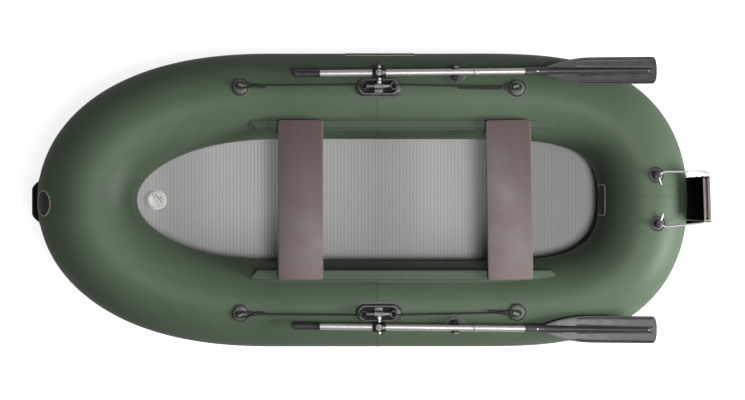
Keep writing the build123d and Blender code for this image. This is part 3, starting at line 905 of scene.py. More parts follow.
def ply_edge(name, axis, origin, light, dark, ply=0.0014):
    """Sawn and sealed edge of a board whose plies lie square to one axis."""
    material = finished(name, ply_tree, 0.4, 0.0002, {"Light": light, "Dark": dark, "Ply": ply})
    tree = material.node_tree
    effects = next(node for node in tree.nodes if node.type == "GROUP").inputs
    depth = axes(tree, effects["Place"].links[0].from_socket)[axis]
    tree.links.new(maths(tree, "SUBTRACT", depth, origin), effects["Across"])
    return material


def show_edge(board, axis, material):
    """Bares the plies of a board wherever it doesn't face along an axis."""
    board.data.materials.append(material)
    for face in board.data.polygons:
        if abs(face.normal[axis]) < 0.8:
            face.material_index = 1


bench_low = 0.372
bench_thick = 0.018
bench_width = 0.200
bench_length = 0.712
bench_corner = 0.012
bench_film = finished(
    "bench_film", film_tree, 0.25, 0.0003, {"Colour": (0.062, 0.030, 0.028, 1), "Roughness": 0.58},
    {"Specular IOR Level": 1.0, "IOR": 1.55},
)
bench_edge = ply_edge(
    "bench_edge", 2, bench_low, (0.230, 0.125, 0.090, 1), (0.095, 0.040, 0.032, 1)
)
arris = mm((1.6, 0), (0.5, 0.5), (0, 1.6))
bench_profile = arris + [(inset, bench_thick - level) for inset, level in reversed(arris)]
for name, bench_x, skew, body in (
    ("front_bench", 0.298, 0.0, "front_seat"), ("rear_bench", -0.631, 0.9, "rear_seat")
):
    turn = math.radians(skew)

    def on_bench(a, b, lift):
        """Point of a bench: across it, along it, and up from its underside."""
        return (
            bench_x + a * math.cos(turn) - b * math.sin(turn),
            a * math.sin(turn) + b * math.cos(turn), bench_low + lift,
        )

    outline = rounded_box(bench_width, bench_length, bench_corner)
    board = moulding(
        f"{name}_board", [(stack(outline, bench_profile, on_bench), bench_film)]
    )
    show_edge(board, 2, bench_edge)
    fit(board, body, "bench_board", name)

moulded_tree, given = new_tree(
    "moulded", "ShaderNodeTree",
    [
        ("Place", "Vector"), ("Colour", "Color"), ("Grain", "Float", 1400.0),
        ("Roughness", "Float", 0.45), ("Bloom", "Float", 0.08),
    ],
    effect_outputs,
)
flow = noise(moulded_tree, given["Place"], 26.0, 6.0, Roughness=0.6)
bloomed = ramp(moulded_tree, flow, 0.42, 0.72, 0.0, given["Bloom"])
put_out(
    moulded_tree, blend(moulded_tree, bloomed, given["Colour"], (0.36, 0.35, 0.33, 1)),
    maths(moulded_tree, "ADD", given["Roughness"], swing(moulded_tree, flow, 0.35)),
    noise(moulded_tree, given["Place"], given["Grain"], 2.0),
)


def moulded(name, colour, relief, depth=0.0003, gloss=0.5, **values):
    """The finish of a moulded rubber or plastic piece."""
    values = {"Colour": (*colour, 1), **values}
    return finished(name, moulded_tree, relief, depth, values, {"Specular IOR Level": gloss})


black_plastic = moulded("black_plastic", (0.018, 0.018, 0.018), 0.35)
for bench_name in ("front_bench", "rear_bench"):
    for side, sign in sides:
        refinish(f"{bench_name}_shoe_{side}", black_plastic)


# ---- oarlock bases ----
# A moulded rubber pad, glued over the bulkhead seam, has an oval kerb, a hollow post at each end
# and a low rest block between them. A steel pin through the posts is the oar's axle.
patch_rubber = moulded(
    "patch_rubber", (0.030, 0.033, 0.030), 0.5, gloss=0.35, Roughness=0.42, Bloom=0.10
)
rest_grey = moulded("rest_grey", (0.150, 0.140, 0.150), 0.3, Roughness=0.4, Bloom=0.2)
pad_rubber = moulded(
    "pad_rubber", (0.085, 0.095, 0.082), 0.4, gloss=0.3, Roughness=0.45, Bloom=0.12
)
matt_black = moulded(
    "matt_black", (0.010, 0.009, 0.010), 0.4, gloss=0.15, Roughness=0.6, Bloom=0.02
)
# A lighter copy of the black rubber: painted highlights on the rims of the kerb, the fore post, the
# clip pad, the rope eyes' beads and the transom clamps' cups.
rim_highlight_rubber = moulded("rim_highlight_rubber", (0.110, 0.105, 0.110), 0.4, 0.0002, Roughness=0.4, Bloom=0.12)
metal_tree, given = new_tree(
    "drawn metal", "ShaderNodeTree",
    [
        ("Place", "Vector"), ("Colour", "Color"), ("Along", "Float", 12.0),
        ("Across", "Float", 900.0), ("Roughness", "Float", 0.3), ("Tarnish", "Float", 0.3),
    ],
    effect_outputs,
)
draw_scale = add_node(
    metal_tree, "ShaderNodeCombineXYZ", {0: given["Along"], 1: given["Across"], 2: given["Across"]}
)
drawn_place = add_node(
    metal_tree, "ShaderNodeVectorMath", {0: given["Place"], 1: draw_scale.outputs[0]},
    operation="MULTIPLY",
)
draw_lines = noise(metal_tree, drawn_place.outputs[0], 1.0, 3.0)
clouds = noise(metal_tree, given["Place"], 45.0, 6.0)
tarnish = ramp(metal_tree, clouds, 0.45, 0.75, 0.0, given["Tarnish"])
lined = maths(metal_tree, "ADD", given["Roughness"], swing(metal_tree, draw_lines, 0.25))
put_out(
    metal_tree,
    blend(metal_tree, tarnish, given["Colour"], scaled(metal_tree, given["Colour"], 0.55)),
    maths(metal_tree, "ADD", lined, maths(metal_tree, "MULTIPLY", tarnish, 0.3)), draw_lines,
)


def metal(name, colour, relief, depth=0.0001, metallic=1.0, uv=None, **values):
    """The finish of a metal piece."""
    values = {"Colour": (*colour, 1), **values}
    return finished(name, metal_tree, relief, depth, values, {"Metallic": metallic}, uv)


bare_metal = (0.50, 0.49, 0.475)
bright_steel = metal("bright_steel", bare_metal, 0.15, Roughness=0.38)
pin_grey = metal(
    "pin_grey", (0.28, 0.28, 0.27), 0.3, 0.0002, 0.2, Along=60.0, Across=400.0, Roughness=0.5
)


def side_seat(x, roll):
    """Places points on the straight part of the port tube: forward, outboard and up."""

    def place(a, b, lift):
        turned_to = math.radians(roll) + b / side_radius
        reach_out = side_radius + lift
        return (
            x + a, half_beam + reach_out * math.sin(turned_to),
            side_height + reach_out * math.cos(turned_to),
        )

    return place


def shifted(place, along_by, out_by=0.0):
    """The same seat, moved along and outboard."""
    return lambda a, b, lift: place(a + along_by, b + out_by, lift)


def disc(across, steps=12):
    """Outline of a round piece."""
    return rounded_box(across, across, across / 2, steps)


def hoop(outline, profile, place):
    """Closed shell of a rim: one section carried round an outline, open in the middle."""
    points, faces = stack(outline, profile, place)
    count = len(points) // len(profile)
    last = len(points) - count
    closing = [
        (last + corner, last + (corner + 1) % count, (corner + 1) % count, corner)
        for corner in range(count)
    ]
    return points, faces[2:] + closing


def turned(origin, axis, profile, count=32):
    """Closed shell turned round an axis. The profile is (distance along, radius)."""
    axis = Vector(axis).normalized()
    side = axis.orthogonal().normalized()
    other = axis.cross(side)
    origin = Vector(origin)
    turns = [2 * math.pi * step / count for step in range(count)]
    return ring_shell([
        [
            origin + axis * distance + radius * (math.cos(turn) * side + math.sin(turn) * other)
            for turn in turns
        ]
        for distance, radius in profile
    ])


barrel_y = 0.503
pin_z = 0.424
base_x = -0.049
oar_x = -0.051
base_seat = side_seat(base_x, 5.9)
pad = stack(
    rounded_box(0.213, 0.096, 0.048, 14),
    mm((0, -3), (0, 1.2), (0.5, 1.8), (2.2, 1.8), (3.2, 1.2), (6, 1)),
    base_seat, fill=5,
)


def oval(half_length, half_width, end_slope=1.0):
    """Outline of a straight-sided oval, whose ends draw in faster than its sides."""

    def outline(inset):
        long, short = half_length - end_slope * inset, half_width - inset
        ring = []
        for way in (1, -1):
            for step in range(21):
                turn = (step / 20 - 0.5) * math.pi
                end = long - short + short * math.cos(turn)
                ring.append((way * end, way * short * math.sin(turn)))
        return ring

    outline.reach = half_width
    return outline


kerb_foot = oval(0.1035, 0.0400, 1.75)
kerb_seat = shifted(base_seat, 0, 0.003)
kerb = stack(
    kerb_foot,
    mm(
        (0, 0.8), (0.4, 3), (2.2, 7.5), (5.8, 12.4), (7.6, 14.2), (12.2, 14.2), (12.6, 6),
        (15, 4.5),
    ),
    kerb_seat, fill=4,
)
kerb_lip = hoop(
    kerb_foot,
    mm(
        (7.4, 13.2), (7.6, 14.8), (8.6, 15.8), (10.2, 16.1), (11.8, 15.6), (12.5, 14.4),
        (12.6, 13.2),
    ),
    kerb_seat,
)
well = stack(kerb_foot, mm((12.4, 3), (12.4, 5.2), (13, 5.4)), kerb_seat, fill=4)
post_profile = mm((-2, 4.2), (-0.4, 6), (0.4, 11), (1, 29), (1.3, 35), (5, 35), (5.1, 16))
post_lip_profile = mm(
    (1.2, 33), (1.4, 36.6), (2.2, 37.8), (3.4, 38), (4.4, 37.2), (4.8, 35), (4.9, 29), (5, 33)
)
post_bore_profile = mm((0, 15), (0, 19), (0.4, 19.2))
washer_profile = mm((0, 5.8), (0, 9.4), (0.3, 9.8), (1.2, 9.8), (1.5, 9.4), (1.5, 5.8))
for side, sign in sides:
    parts = [(pad, pad_rubber), (kerb, patch_rubber), (kerb_lip, rim_highlight_rubber), (well, matt_black)]
    # The fore post's rim gets the painted highlight; the aft post's rim stays plain rubber.
    for along_by, lip in ((-0.066, rim_highlight_rubber), (0.066, patch_rubber)):
        post_seat = shifted(base_seat, along_by, 0.002)
        parts += [
            (stack(disc(0.0315, 8), post_profile, post_seat, fill=2), patch_rubber),
            (hoop(disc(0.0315, 8), post_lip_profile, post_seat), lip),
            (stack(disc(0.021, 8), post_bore_profile, post_seat, fill=2), matt_black),
        ]
    rest = stack(
        rounded_box(0.038, 0.0155, 0.003, 4),
        mm((0, 4), (0, 12.5), (0.6, 13.9), (2, 14.5)),
        shifted(base_seat, 0, -0.0150),
    )
    base = moulding(f"oarlock_pad_{side}", parts + [(rest, rest_grey)], sign)
    fit(base, "hull", "patch_rubber", f"oarlock_base_{side}")
    axle_points = [(base_x + x, sign * barrel_y, pin_z) for x in (-0.0555, -0.0545, 0.0545, 0.0555)]
    axle = grow(
        f"oarlock_pin_{side}", line_mesh("pin", axle_points, [0.0048, 0.0056, 0.0056, 0.0048]),
        skin_tree, Sides=32, Material=pin_grey,
    )
    fit(axle, "hull", "bright_steel", f"oarlock_axle_{side}")
    washers = [
        (turned((oar_x + x, barrel_y, pin_z), (1, 0, 0), washer_profile), pin_grey)
        for x in (-0.0220, 0.0205)
    ]
    fit(moulding(f"pin_washers_{side}", washers, sign), "hull", "bright_steel")


# ---- oarlock swivels ----
# A cast barrel turns on the axle. Its lug holds an eye, and one bolt through the eye, the oar's
# collar and its shaft carries the oar, with a nut on each side of the collar.
swivel_cast = metal(
    "swivel_cast", (0.22, 0.225, 0.215), 0.5, 0.0003, 0.2, Along=300.0, Across=300.0, Roughness=0.5
)
oar_y = 0.561
collar_radius = 0.022
bolt_radius = 0.0040
nut_width = 0.013


def hexagon(start, axis, width, height):
    """A chamfered hexagon nut or bolt head on an axis."""
    corner = width / math.sqrt(3)
    return turned(
        start, axis,
        [(0, corner * 0.93), (0.0006, corner), (height - 0.0008, corner), (height, corner * 0.90)],
        6,
    )


def thread(start, axis, radius, length, pitch=0.00125):
    """A threaded end with a chamfered tip, its ridges a pitch apart."""
    profile = []
    for ridge in range(int(length / pitch)):
        profile += [(ridge * pitch, radius * 0.88), ((ridge + 0.5) * pitch, radius)]
    profile += [(length, radius * 0.85), (length + 0.0006, radius * 0.6)]
    return turned(start, axis, profile, 20)


def on_oar(along_oar, around, lift):
    """Point of the port oar: along it from the bolt, round it from its top, out from its middle."""
    return (
        oar_origin + oar_way * along_oar
        + lift * (math.cos(around) * Vector((0, 0, 1)) + math.sin(around) * oar_side)
    )


oar_splay = math.radians(0.58)
oar_origin = Vector((oar_x, oar_y, pin_z))
oar_way = Vector((-math.cos(oar_splay), math.sin(oar_splay), 0))
oar_side = Vector((math.sin(oar_splay), math.cos(oar_splay), 0))
bolt_way = (0, 1, 0)
for side, sign in sides:
    barrel = turned(
        (oar_x - 0.020, barrel_y, pin_z), (1, 0, 0),
        mm(
            (0, 5.8), (0, 9.8), (0.8, 10.8), (5, 10.8), (6, 10), (34, 10), (35, 10.8),
            (39.2, 10.8), (40, 9.8), (40, 5.8),
        ),
    )
    lug = stack(
        rounded_box(0.018, 0.0145, 0.0035, 4),
        mm((0, 3), (0, 9.5), (0.8, 13), (1.2, 19.5), (2.2, 21.5)),
        lambda a, b, lift: (oar_x + a, barrel_y + lift, pin_z + b),
    )
    eye = turned(
        (oar_x, barrel_y + 0.0125, pin_z), bolt_way,
        mm((0, 4.5), (0, 9), (1, 10.2), (5.5, 10.6), (10, 10.2), (11, 9), (11, 4.5)),
    )
    swivel = moulding(
        f"swivel_{side}", [(barrel, swivel_cast), (lug, swivel_cast), (eye, bright_steel)], sign
    )
    fit(swivel, f"{side}_oar", "swivel_metal", f"oar_swivel_{side}")
    inner = oar_y - collar_radius
    outer = oar_y + collar_radius
    nut_top = pin_z + collar_radius + 0.0017
    inner_washer = mm((0, 8.6), (0.2, 9), (1.5, 9))
    outer_washer = mm((0, 9), (1.3, 9), (1.5, 8.6))
    bolt_profile = [(0, bolt_radius), (0.065, bolt_radius)]
    bolt_parts = [
        turned((oar_x, barrel_y + 0.020, pin_z), bolt_way, bolt_profile, 24),
        turned((oar_x, inner - 0.0017, pin_z), bolt_way, inner_washer),
        hexagon((oar_x, inner - 0.0072, pin_z), bolt_way, nut_width, 0.0055),
        turned((oar_x, outer + 0.0002, pin_z), bolt_way, outer_washer),
        hexagon((oar_x, outer + 0.0017, pin_z), bolt_way, nut_width, 0.0062),
        thread((oar_x, outer + 0.0078, pin_z), bolt_way, bolt_radius, 0.0052),
    ]
    top_washer = mm((0, 14), (2.4, 14.2), (3, 13.6))
    dome = mm((0, 7.8), (4, 8), (5.6, 6.8), (6.4, 4), (6.6, 1))
    dull_parts = [
        turned((oar_x, oar_y, nut_top - 0.0030), (0, 0, 1), top_washer),
        hexagon((oar_x, oar_y, nut_top), (0, 0, 1), 0.0135, 0.0046),
        thread((oar_x, oar_y, nut_top + 0.0044), (0, 0, 1), 0.0036, 0.0022),
        turned(on_oar(0.0185, 0, collar_radius - 0.002), (0, 0, 1), dome),
    ]
    bolt = moulding(
        f"oar_bolt_set_{side}",
        [(part, bright_steel) for part in bolt_parts] + [(part, pin_grey) for part in dull_parts],
        sign,
    )
    fit(bolt, f"{side}_oar", "bright_steel", f"oar_bolt_{side}")


# ---- oars ----
# Each oar is a drawn aluminium tube in two halves, joined at a flush sleeve with a spring
# button. It has a ribbed grip, a rubber collar at the oarlock and a moulded ribbed blade.
shaft_radius = 0.015
aluminium = metal(
    "drawn_aluminium", bare_metal, 0.12, uv="skin_map", Along=6.0, Across=1500.0, Roughness=0.48,
    Tarnish=0.18,
)
sleeve_aluminium = metal(
    "sleeve_aluminium", bare_metal, 0.12, Along=6.0, Across=600.0, Roughness=0.48, Tarnish=0.18
)
grip_rubber = moulded(
    "grip_rubber", (0.022, 0.022, 0.023), 0.5, gloss=0.35, Roughness=0.42, Grain=2200.0
)
blade_plastic = moulded(
    "blade_plastic", (0.028, 0.029, 0.028), 0.3, 0.0002, Roughness=0.38, Grain=900.0, Bloom=0.02
)
blade_from = 0.728
blade_full = 0.949
blade_tip = 1.226
blade_half = 0.060
blade_thick = 0.005
blade_corner = 0.024
rib_stop = 1.194


def blade_width(s):
    """Half width of the blade at a distance from the bolt."""
    if s < blade_full:
        share = (s - blade_from) / (blade_full - blade_from)
        return shaft_radius + (blade_half - shaft_radius) * (1 - (1 - share) ** 2.1) ** 0.92
    if s < blade_tip - blade_corner:
        return blade_half
    share = (s - (blade_tip - blade_corner)) / blade_corner
    return blade_half * max(1 - share ** 3.2, 0) ** 0.42


def ease(value, low, high):
    """0 below low, 1 above high, and a smooth step between them."""
    share = np.clip((value - low) / (high - low), 0, 1)
    return share * share * (3 - 2 * share)


def blade_shell():
    """The blade's closed skin: a thin plate with a rolled rim, a groove inside it and a rib."""
    rows = np.concatenate([
        np.linspace(blade_from, blade_tip - blade_corner - 0.002, 120),
        blade_tip - blade_corner * (1 - np.linspace(0.04, 1, 26)) ** 1.8,
    ])
    rows[-1] = blade_tip - 0.00002
    across = np.array([
        0, 1.2, 2.4, 3.6, 4.8, 6, 7.2, 8.2, 9.1, 9.8, 10.5, 11.2, 11.9, 12.6, 13.4, 14.4, 15.6, 17,
        19, 23, 28, 34, 39, 42, 44, 45.5, 47, 48.2, 49.2, 49.9, 50.6, 51.3, 52, 52.8, 53.8, 54.8,
        55.6, 56.6, 57.6, 58.6, 59.4, 60,
    ]) / 60
    across = np.concatenate([-across[:0:-1], across])
    s = np.repeat(rows[:, None], len(across), axis=1)
    width = np.array([blade_width(value) for value in rows])[:, None]
    t = width * across[None, :]
    edge = np.abs(width - np.abs(t))
    half = blade_thick / 2
    rim = np.sqrt(np.clip(1 - (1 - np.clip(edge / 0.0024, 0, 1)) ** 2, 0, 1))
    inner = ease(s, 0.868, 0.880) * (1 - ease(s, 1.203, 1.210))
    rim_bead = 0.0010 * (1 - ease(edge, 0.0050, 0.0072))
    groove = -0.0016 * np.exp(-(((edge - 0.0094) / 0.0011) ** 2)) * inner
    pillow = 0.0007 * np.exp(-(((edge - 0.0128) / 0.0022) ** 2)) * inner
    plate = (half + rim_bead + groove + pillow) * rim
    share = np.clip((s - blade_from) / (rib_stop - blade_from), 0, 1)
    rib_half = 0.0175 + (0.0100 - 0.0175) * share**0.7
    rib_rise = 0.0178 + (0.0078 - 0.0178) * share**0.8
    past_end = np.clip((s - (rib_stop - rib_half)) / rib_half, 0, 1)
    rounded_end = np.sqrt(np.clip(1 - past_end**2, 0, 1))
    rib = rib_rise * (np.clip(1 - (t / rib_half) ** 2, 0, 1) ** 0.90) * rounded_end
    foot = -0.0018 * np.exp(-(((np.abs(t) - rib_half - 0.0015) / 0.0020) ** 2)) * inner
    plate = plate + foot * rim
    top = np.maximum(plate, rib)
    top[:, 0] = top[:, -1] = 0.0
    top[-1, :] = 0.0
    count, columns = s.size, len(across)
    points = [
        oar_origin + oar_way * float(a) + oar_side * float(b) + Vector((0, 0, float(c)))
        for level in (1, -1) for a, b, c in zip(s.ravel(), t.ravel(), (level * top).ravel())
    ]
    rear = list(range(columns)) + [count + column for column in range(columns - 2, 0, -1)]
    return points, both_sides(grid_faces(len(rows), columns), count) + [tuple(rear)]


grip_start = -0.378
grip_profile = mm((0, 9), (0.8, 12.5), (2.8, 15), (6, 16.4), (10, 16.6))
for rib in range(11):
    start = 0.0120 + rib * 0.0085
    grip_profile += [
        (start, 0.0166), (start + 0.0014, 0.0158), (start + 0.0028, 0.0158),
        (start + 0.0042, 0.0166),
    ]
grip_profile += mm(
    (108.5, 16.6), (109.5, 15.6), (111, 15.6), (111.8, 17.4), (112.8, 17.8), (116.8, 17.8),
    (118, 17), (118, 15.1),
)
collar_profile = mm(
    (0, 15.1), (0, 20.4), (1.2, 21.7), (2.2, 22), (6.2, 22), (7, 21.2), (10, 21.2), (10.8, 22),
    (48.2, 22), (49, 21.2), (52, 21.2), (52.8, 22), (56.8, 22), (57.8, 21.7), (59, 20.4),
    (59, 15.1),
)
sleeve_profile = mm((0, 14.6), (1, 15.2), (1.6, 15.6), (21.4, 15.6), (22, 15.2), (23, 14.6))
groove_profile = mm((0, 14.6), (0, 15.25), (0.9, 15.25), (0.9, 14.6))
button_profile = mm((0, 3.6), (3, 3.6), (3.8, 3), (4.2, 1.6))
button_at = 0.428
button_turn = 2.6
socket_profile = mm((0, 15.1), (0, 17.2), (1.2, 18.8), (7, 19), (8.5, 18), (80, 18), (86, 17.9))
for side, sign in sides:
    body = f"{side}_oar"
    shaft_points = [
        (point.x, sign * point.y, point.z)
        for point in (on_oar(s, 0, 0) for s in np.linspace(-0.268, 0.700, 9))
    ]
    shaft = grow(
        f"oar_tube_{side}", line_mesh("tube", shaft_points, [shaft_radius] * 9), skin_tree,
        Sides=56, Material=aluminium,
    )
    skin_map(shaft, shaft_radius)
    fit(shaft, body, "shaft_aluminium", f"oar_shaft_{side}")
    for name, material, start, profile, count, node in (
        ("oar_handgrip", grip_rubber, grip_start, grip_profile, 48, "oar_grip"),
        ("oar_stopper", matt_black, -0.0295, collar_profile, 56, "oar_collar"),
    ):
        shell = turned(on_oar(start, 0, 0), oar_way, profile, count)
        piece = moulding(f"{name}_{side}", [(shell, material)], sign)
        fit(piece, body, "black_rubber", f"{node}_{side}")
    sleeve = turned(on_oar(0.4165, 0, 0), oar_way, sleeve_profile, 48)
    button_way = on_oar(button_at, button_turn, 1.0) - on_oar(button_at, button_turn, 0)
    button = turned(on_oar(button_at, button_turn, 0.0140), button_way, button_profile, 20)
    joint_parts = [(sleeve, sleeve_aluminium), (button, bright_steel)]
    for groove_at in (0.4152, 0.4393):
        groove = turned(on_oar(groove_at, 0, 0), oar_way, groove_profile, 48)
        joint_parts.append((groove, black_plastic))
    joint = moulding(f"oar_joint_{side}", joint_parts, sign)
    fit(joint, body, "black_plastic", f"oar_sleeve_{side}")
    socket = turned(on_oar(0.644, 0, 0), oar_way, socket_profile, 48)
    rivet = turned(
        on_oar(0.697, 0, 0.0170), (0, 0, 1),
        mm((0, 4.8), (1.2, 4.8), (2.2, 4), (2.9, 2.4), (3.1, 0.8)), 20,
    )
    blade = moulding(
        f"oar_paddle_{side}",
        [(blade_shell(), blade_plastic), (socket, blade_plastic), (rivet, bright_steel)], sign,
    )
    fit(blade, body, "blade_plastic", f"oar_blade_{side}")


# ---- oar clips ----
# A springy open cradle holds the stowed oar. It stands on a rounded diamond of rubber that is
# glued to the tube, with a ball on the inner jaw to push against and a strap beside it.
clip_x = -0.386
clip_y = oar_y + (oar_x - clip_x) * math.tan(oar_splay)


def skin_seat(x, roll):
    """Places points on the port skin round a seat: forward, outboard and up from it."""
    line = bow_line if x > seam_x else stern_line
    port = line["distance"] > 0
    order = np.argsort(line["centre"][port, 0])
    distance = np.interp(x, line["centre"][port, 0][order], line["distance"][port][order])
    forward = -1 if line is bow_line else 1

    def place(a, b, lift):
        return on_skin(line, distance + forward * a, math.radians(roll) + b / side_radius, lift)

    return place


def diamond(inset):
    """Outline of the clip's pad: a diamond with bowed sides and rounded corners."""
    half_length, half_width = 0.0530 - 1.3 * inset, 0.0385 - inset
    steps, bow_power = 56, 1.35
    ring = []
    for step in range(steps):
        turn = 2 * math.pi * step / steps
        reach_x, reach_y = abs(math.cos(turn)) / half_length, abs(math.sin(turn)) / half_width
        away = (reach_x**bow_power + reach_y**bow_power) ** (-1 / bow_power)
        ring.append((away * math.cos(turn), away * math.sin(turn)))
    return ring


diamond.reach = 0.030


def softened(shell, width):
    """The same closed shell with its sharp edges rounded."""
    form = bmesh.new()
    corners = [form.verts.new(point) for point in shell[0]]
    for face in shell[1]:
        form.faces.new([corners[index] for index in face])
    bmesh.ops.recalc_face_normals(form, faces=form.faces)
    sharp = [edge for edge in form.edges if edge.calc_face_angle(0) > 0.6]
    bmesh.ops.bevel(
        form, geom=sharp, offset=width, offset_type="OFFSET", segments=3, profile=0.5,
        affect="EDGES", clamp_overlap=True,
    )
    form.verts.ensure_lookup_table()
    form.verts.index_update()
    points = [tuple(vertex.co) for vertex in form.verts]
    faces = [tuple(vertex.index for vertex in face.verts) for face in form.faces]
    form.free()
    return points, faces


def prism(section, start, end):
    """Closed shell of one section drawn from start to end; each maps (u, v) to a point."""
    count = len(section)
    points = [start(u, v) for u, v in section] + [end(u, v) for u, v in section]
    faces = [(i, (i + 1) % count, count + (i + 1) % count, count + i) for i in range(count)]
    return points, faces + [tuple(range(count)), tuple(range(count, 2 * count))]


bore = shaft_radius + 0.0006
jaw = bore + 0.0055
cradle_section = [
    (jaw, 0.0065), (jaw + 0.0012, 0.0088), (jaw - 0.0020, 0.0105), (bore + 0.0010, 0.0082)
]
cradle_section += [
    (bore * math.cos(math.radians(turn)), bore * math.sin(math.radians(turn)))
    for turn in range(0, -181, -12)
]
cradle_section += [
    (-bore - 0.0010, 0.0082), (-jaw + 0.0020, 0.0105), (-jaw - 0.0012, 0.0088), (-jaw, 0.0065),
    (-jaw, -0.004), (-jaw + 0.0030, -0.0140), (-0.0150, -0.0215), (-0.0190, -0.0350),
    (0.0230, -0.0600), (0.0180, -0.0300), (0.0150, -0.0215), (jaw - 0.0030, -0.0140), (jaw, -0.004),
]
cradle = softened(
    prism(
        cradle_section,
        lambda u, v: (clip_x - 0.016, clip_y + u, pin_z + v),
        lambda u, v: (clip_x + 0.016, clip_y + u, pin_z + v),
    ),
    0.0012,
)
clip_seat = skin_seat(clip_x, 22.2)
clip_pad = stack(
    diamond, mm((-0.4, -3), (0, 2.2), (1.2, 4.2), (3.4, 5), (4.8, 4.6)),
    clip_seat, fill=3,
)
clip_dish = stack(diamond, mm((4.5, 3), (5, 5.2), (6.4, 5.6)), clip_seat, fill=4)
ball_radius = 0.0145
ball_profile = [
    (ball_radius * math.sin(turn), max(ball_radius * math.cos(turn), 0.0002))
    for turn in map(math.radians, range(-90, 91, 12))
]
ball = turned((clip_x + 0.0015, clip_y - 0.0180, pin_z - 0.0170), (0, 0, 1), ball_profile)
strap = stack(
    rounded_box(0.033, 0.0075, 0.003, 3), mm((0, -4), (0, 2), (0.8, 3)),
    lambda a, b, lift: (
        clip_x - 0.0120 - 0.55 * a - 0.83 * b, clip_y - 0.0340 + 0.83 * a - 0.55 * b,
        pin_z - 0.0120 + lift + 0.45 * a,
    ),
)
# A thin grey strip along the pad's edge beside the strap: a painted highlight on the pad's rim.
pad_rim_glint = stack(
    rounded_box(0.026, 0.0040, 0.0018, 3), mm((0, -4), (0, 1.2), (0.6, 1.8)),
    lambda a, b, lift: (
        clip_x - 0.0330 - 0.78 * a - 0.62 * b, clip_y - 0.0335 + 0.62 * a - 0.78 * b,
        pin_z - 0.0235 + lift + 0.10 * a,
    ),
)
nub = stack(
    rounded_box(0.021, 0.0085, 0.004, 4),
    mm((0, -4), (0, 1.2), (1.2, 3), (3, 3.4)),
    lambda a, b, lift: (clip_x - 0.005 + a, clip_y + 0.0205 + b, pin_z + 0.0060 + lift),
)
# Grey of the strap, also used for the painted highlight strip on the pad's rim.
strap_and_glint_grey = moulded("strap_and_glint_grey", (0.10, 0.098, 0.098), 0.3, Bloom=0.2)
tan_trim = moulded("tan_trim", (0.50, 0.47, 0.34), 0.3, 0.0002, Roughness=0.5, Bloom=0.1)
gloss_black = moulded(
    "gloss_black", (0.012, 0.011, 0.012), 0.2, 0.0002, 0.6, Roughness=0.42, Bloom=0.0
)
for side, sign in sides:
    clip = moulding(
        f"clip_{side}",
        [
            (clip_pad, rim_highlight_rubber), (clip_dish, pad_rubber), (cradle, matt_black),
            (ball, gloss_black), (strap, strap_and_glint_grey), (pad_rim_glint, strap_and_glint_grey), (nub, tan_trim),
        ],
        sign,
    )
    fit(clip, "hull", "black_plastic", f"oar_clip_{side}")


# ---- rope eyes ----
# Round moulded rubber patches on top of the tube, each with a thin bead round a groove and a low
# dome. A long cap stands on a neck in the middle, and the end of a grab line is looped round it.
dark_rubber = moulded("dark_rubber", (0.014, 0.015, 0.013), 0.5, Roughness=0.42, Bloom=0.05)
# A grey strip along the top of each black cap: a painted highlight.
cap_highlight_grey = moulded("cap_highlight_grey", (0.16, 0.16, 0.155), 0.3, 0.0002, Roughness=0.35, Bloom=0.08)
flange_profile = mm((-0.4, -3), (0, 1.4), (0.8, 2.6), (2.2, 2.8), (3, 1.6), (3.6, 1))
groove_rubber_profile = mm((3.6, 0.2), (3.8, 1.2), (7, 1.3))
dome_profile = mm((0, 0.4), (0.6, 4), (2.4, 6.6), (6, 8.6), (11, 9.8), (15, 10.2))
line_eyes = (("fore", 0.574, 8.8, -1), ("aft", -0.664, 6.7, 1))
for place_name, eye_x, eye_roll, inward in line_eyes:
    seat = skin_seat(eye_x, eye_roll)
    flange = stack(disc(0.086), flange_profile, seat, fill=2)
    groove = stack(disc(0.086), groove_rubber_profile, seat, fill=2)
    dome = stack(disc(0.071), dome_profile, seat, fill=3)
    lean = math.radians(-18) * inward

    def cap_place(a, b, lift):
        """Places points round the middle of the long cap: along it, across it and up."""
        return seat(
            inward * 0.005 + a * math.cos(lean) - b * math.sin(lean),
            0.002 + a * math.sin(lean) + b * math.cos(lean), lift,
        )

    neck = stack(rounded_box(0.022, 0.009, 0.0045, 6), [(0, 0.0060), (0, 0.0180)], cap_place)
    cap = stack(
        rounded_box(0.036, 0.018, 0.009, 8),
        mm((1, 17), (0, 18.2), (0.4, 20), (2, 21.4)), cap_place,
    )
    cap_highlight_strip = stack(
        rounded_box(0.028, 0.0090, 0.0045, 8),
        mm((0, 20.8), (0.4, 21.8), (2.2, 22.6)), cap_place,
    )
    for side, sign in sides:
        eye = moulding(
            f"line_eye_{place_name}_{side}",
            [
                (flange, rim_highlight_rubber), (groove, matt_black), (dome, pad_rubber), (neck, matt_black),
                (cap, gloss_black), (cap_highlight_strip, cap_highlight_grey),
            ],
            sign,
        )
        fit(eye, "hull", "patch_rubber", f"rope_eye_{place_name}_{side}")


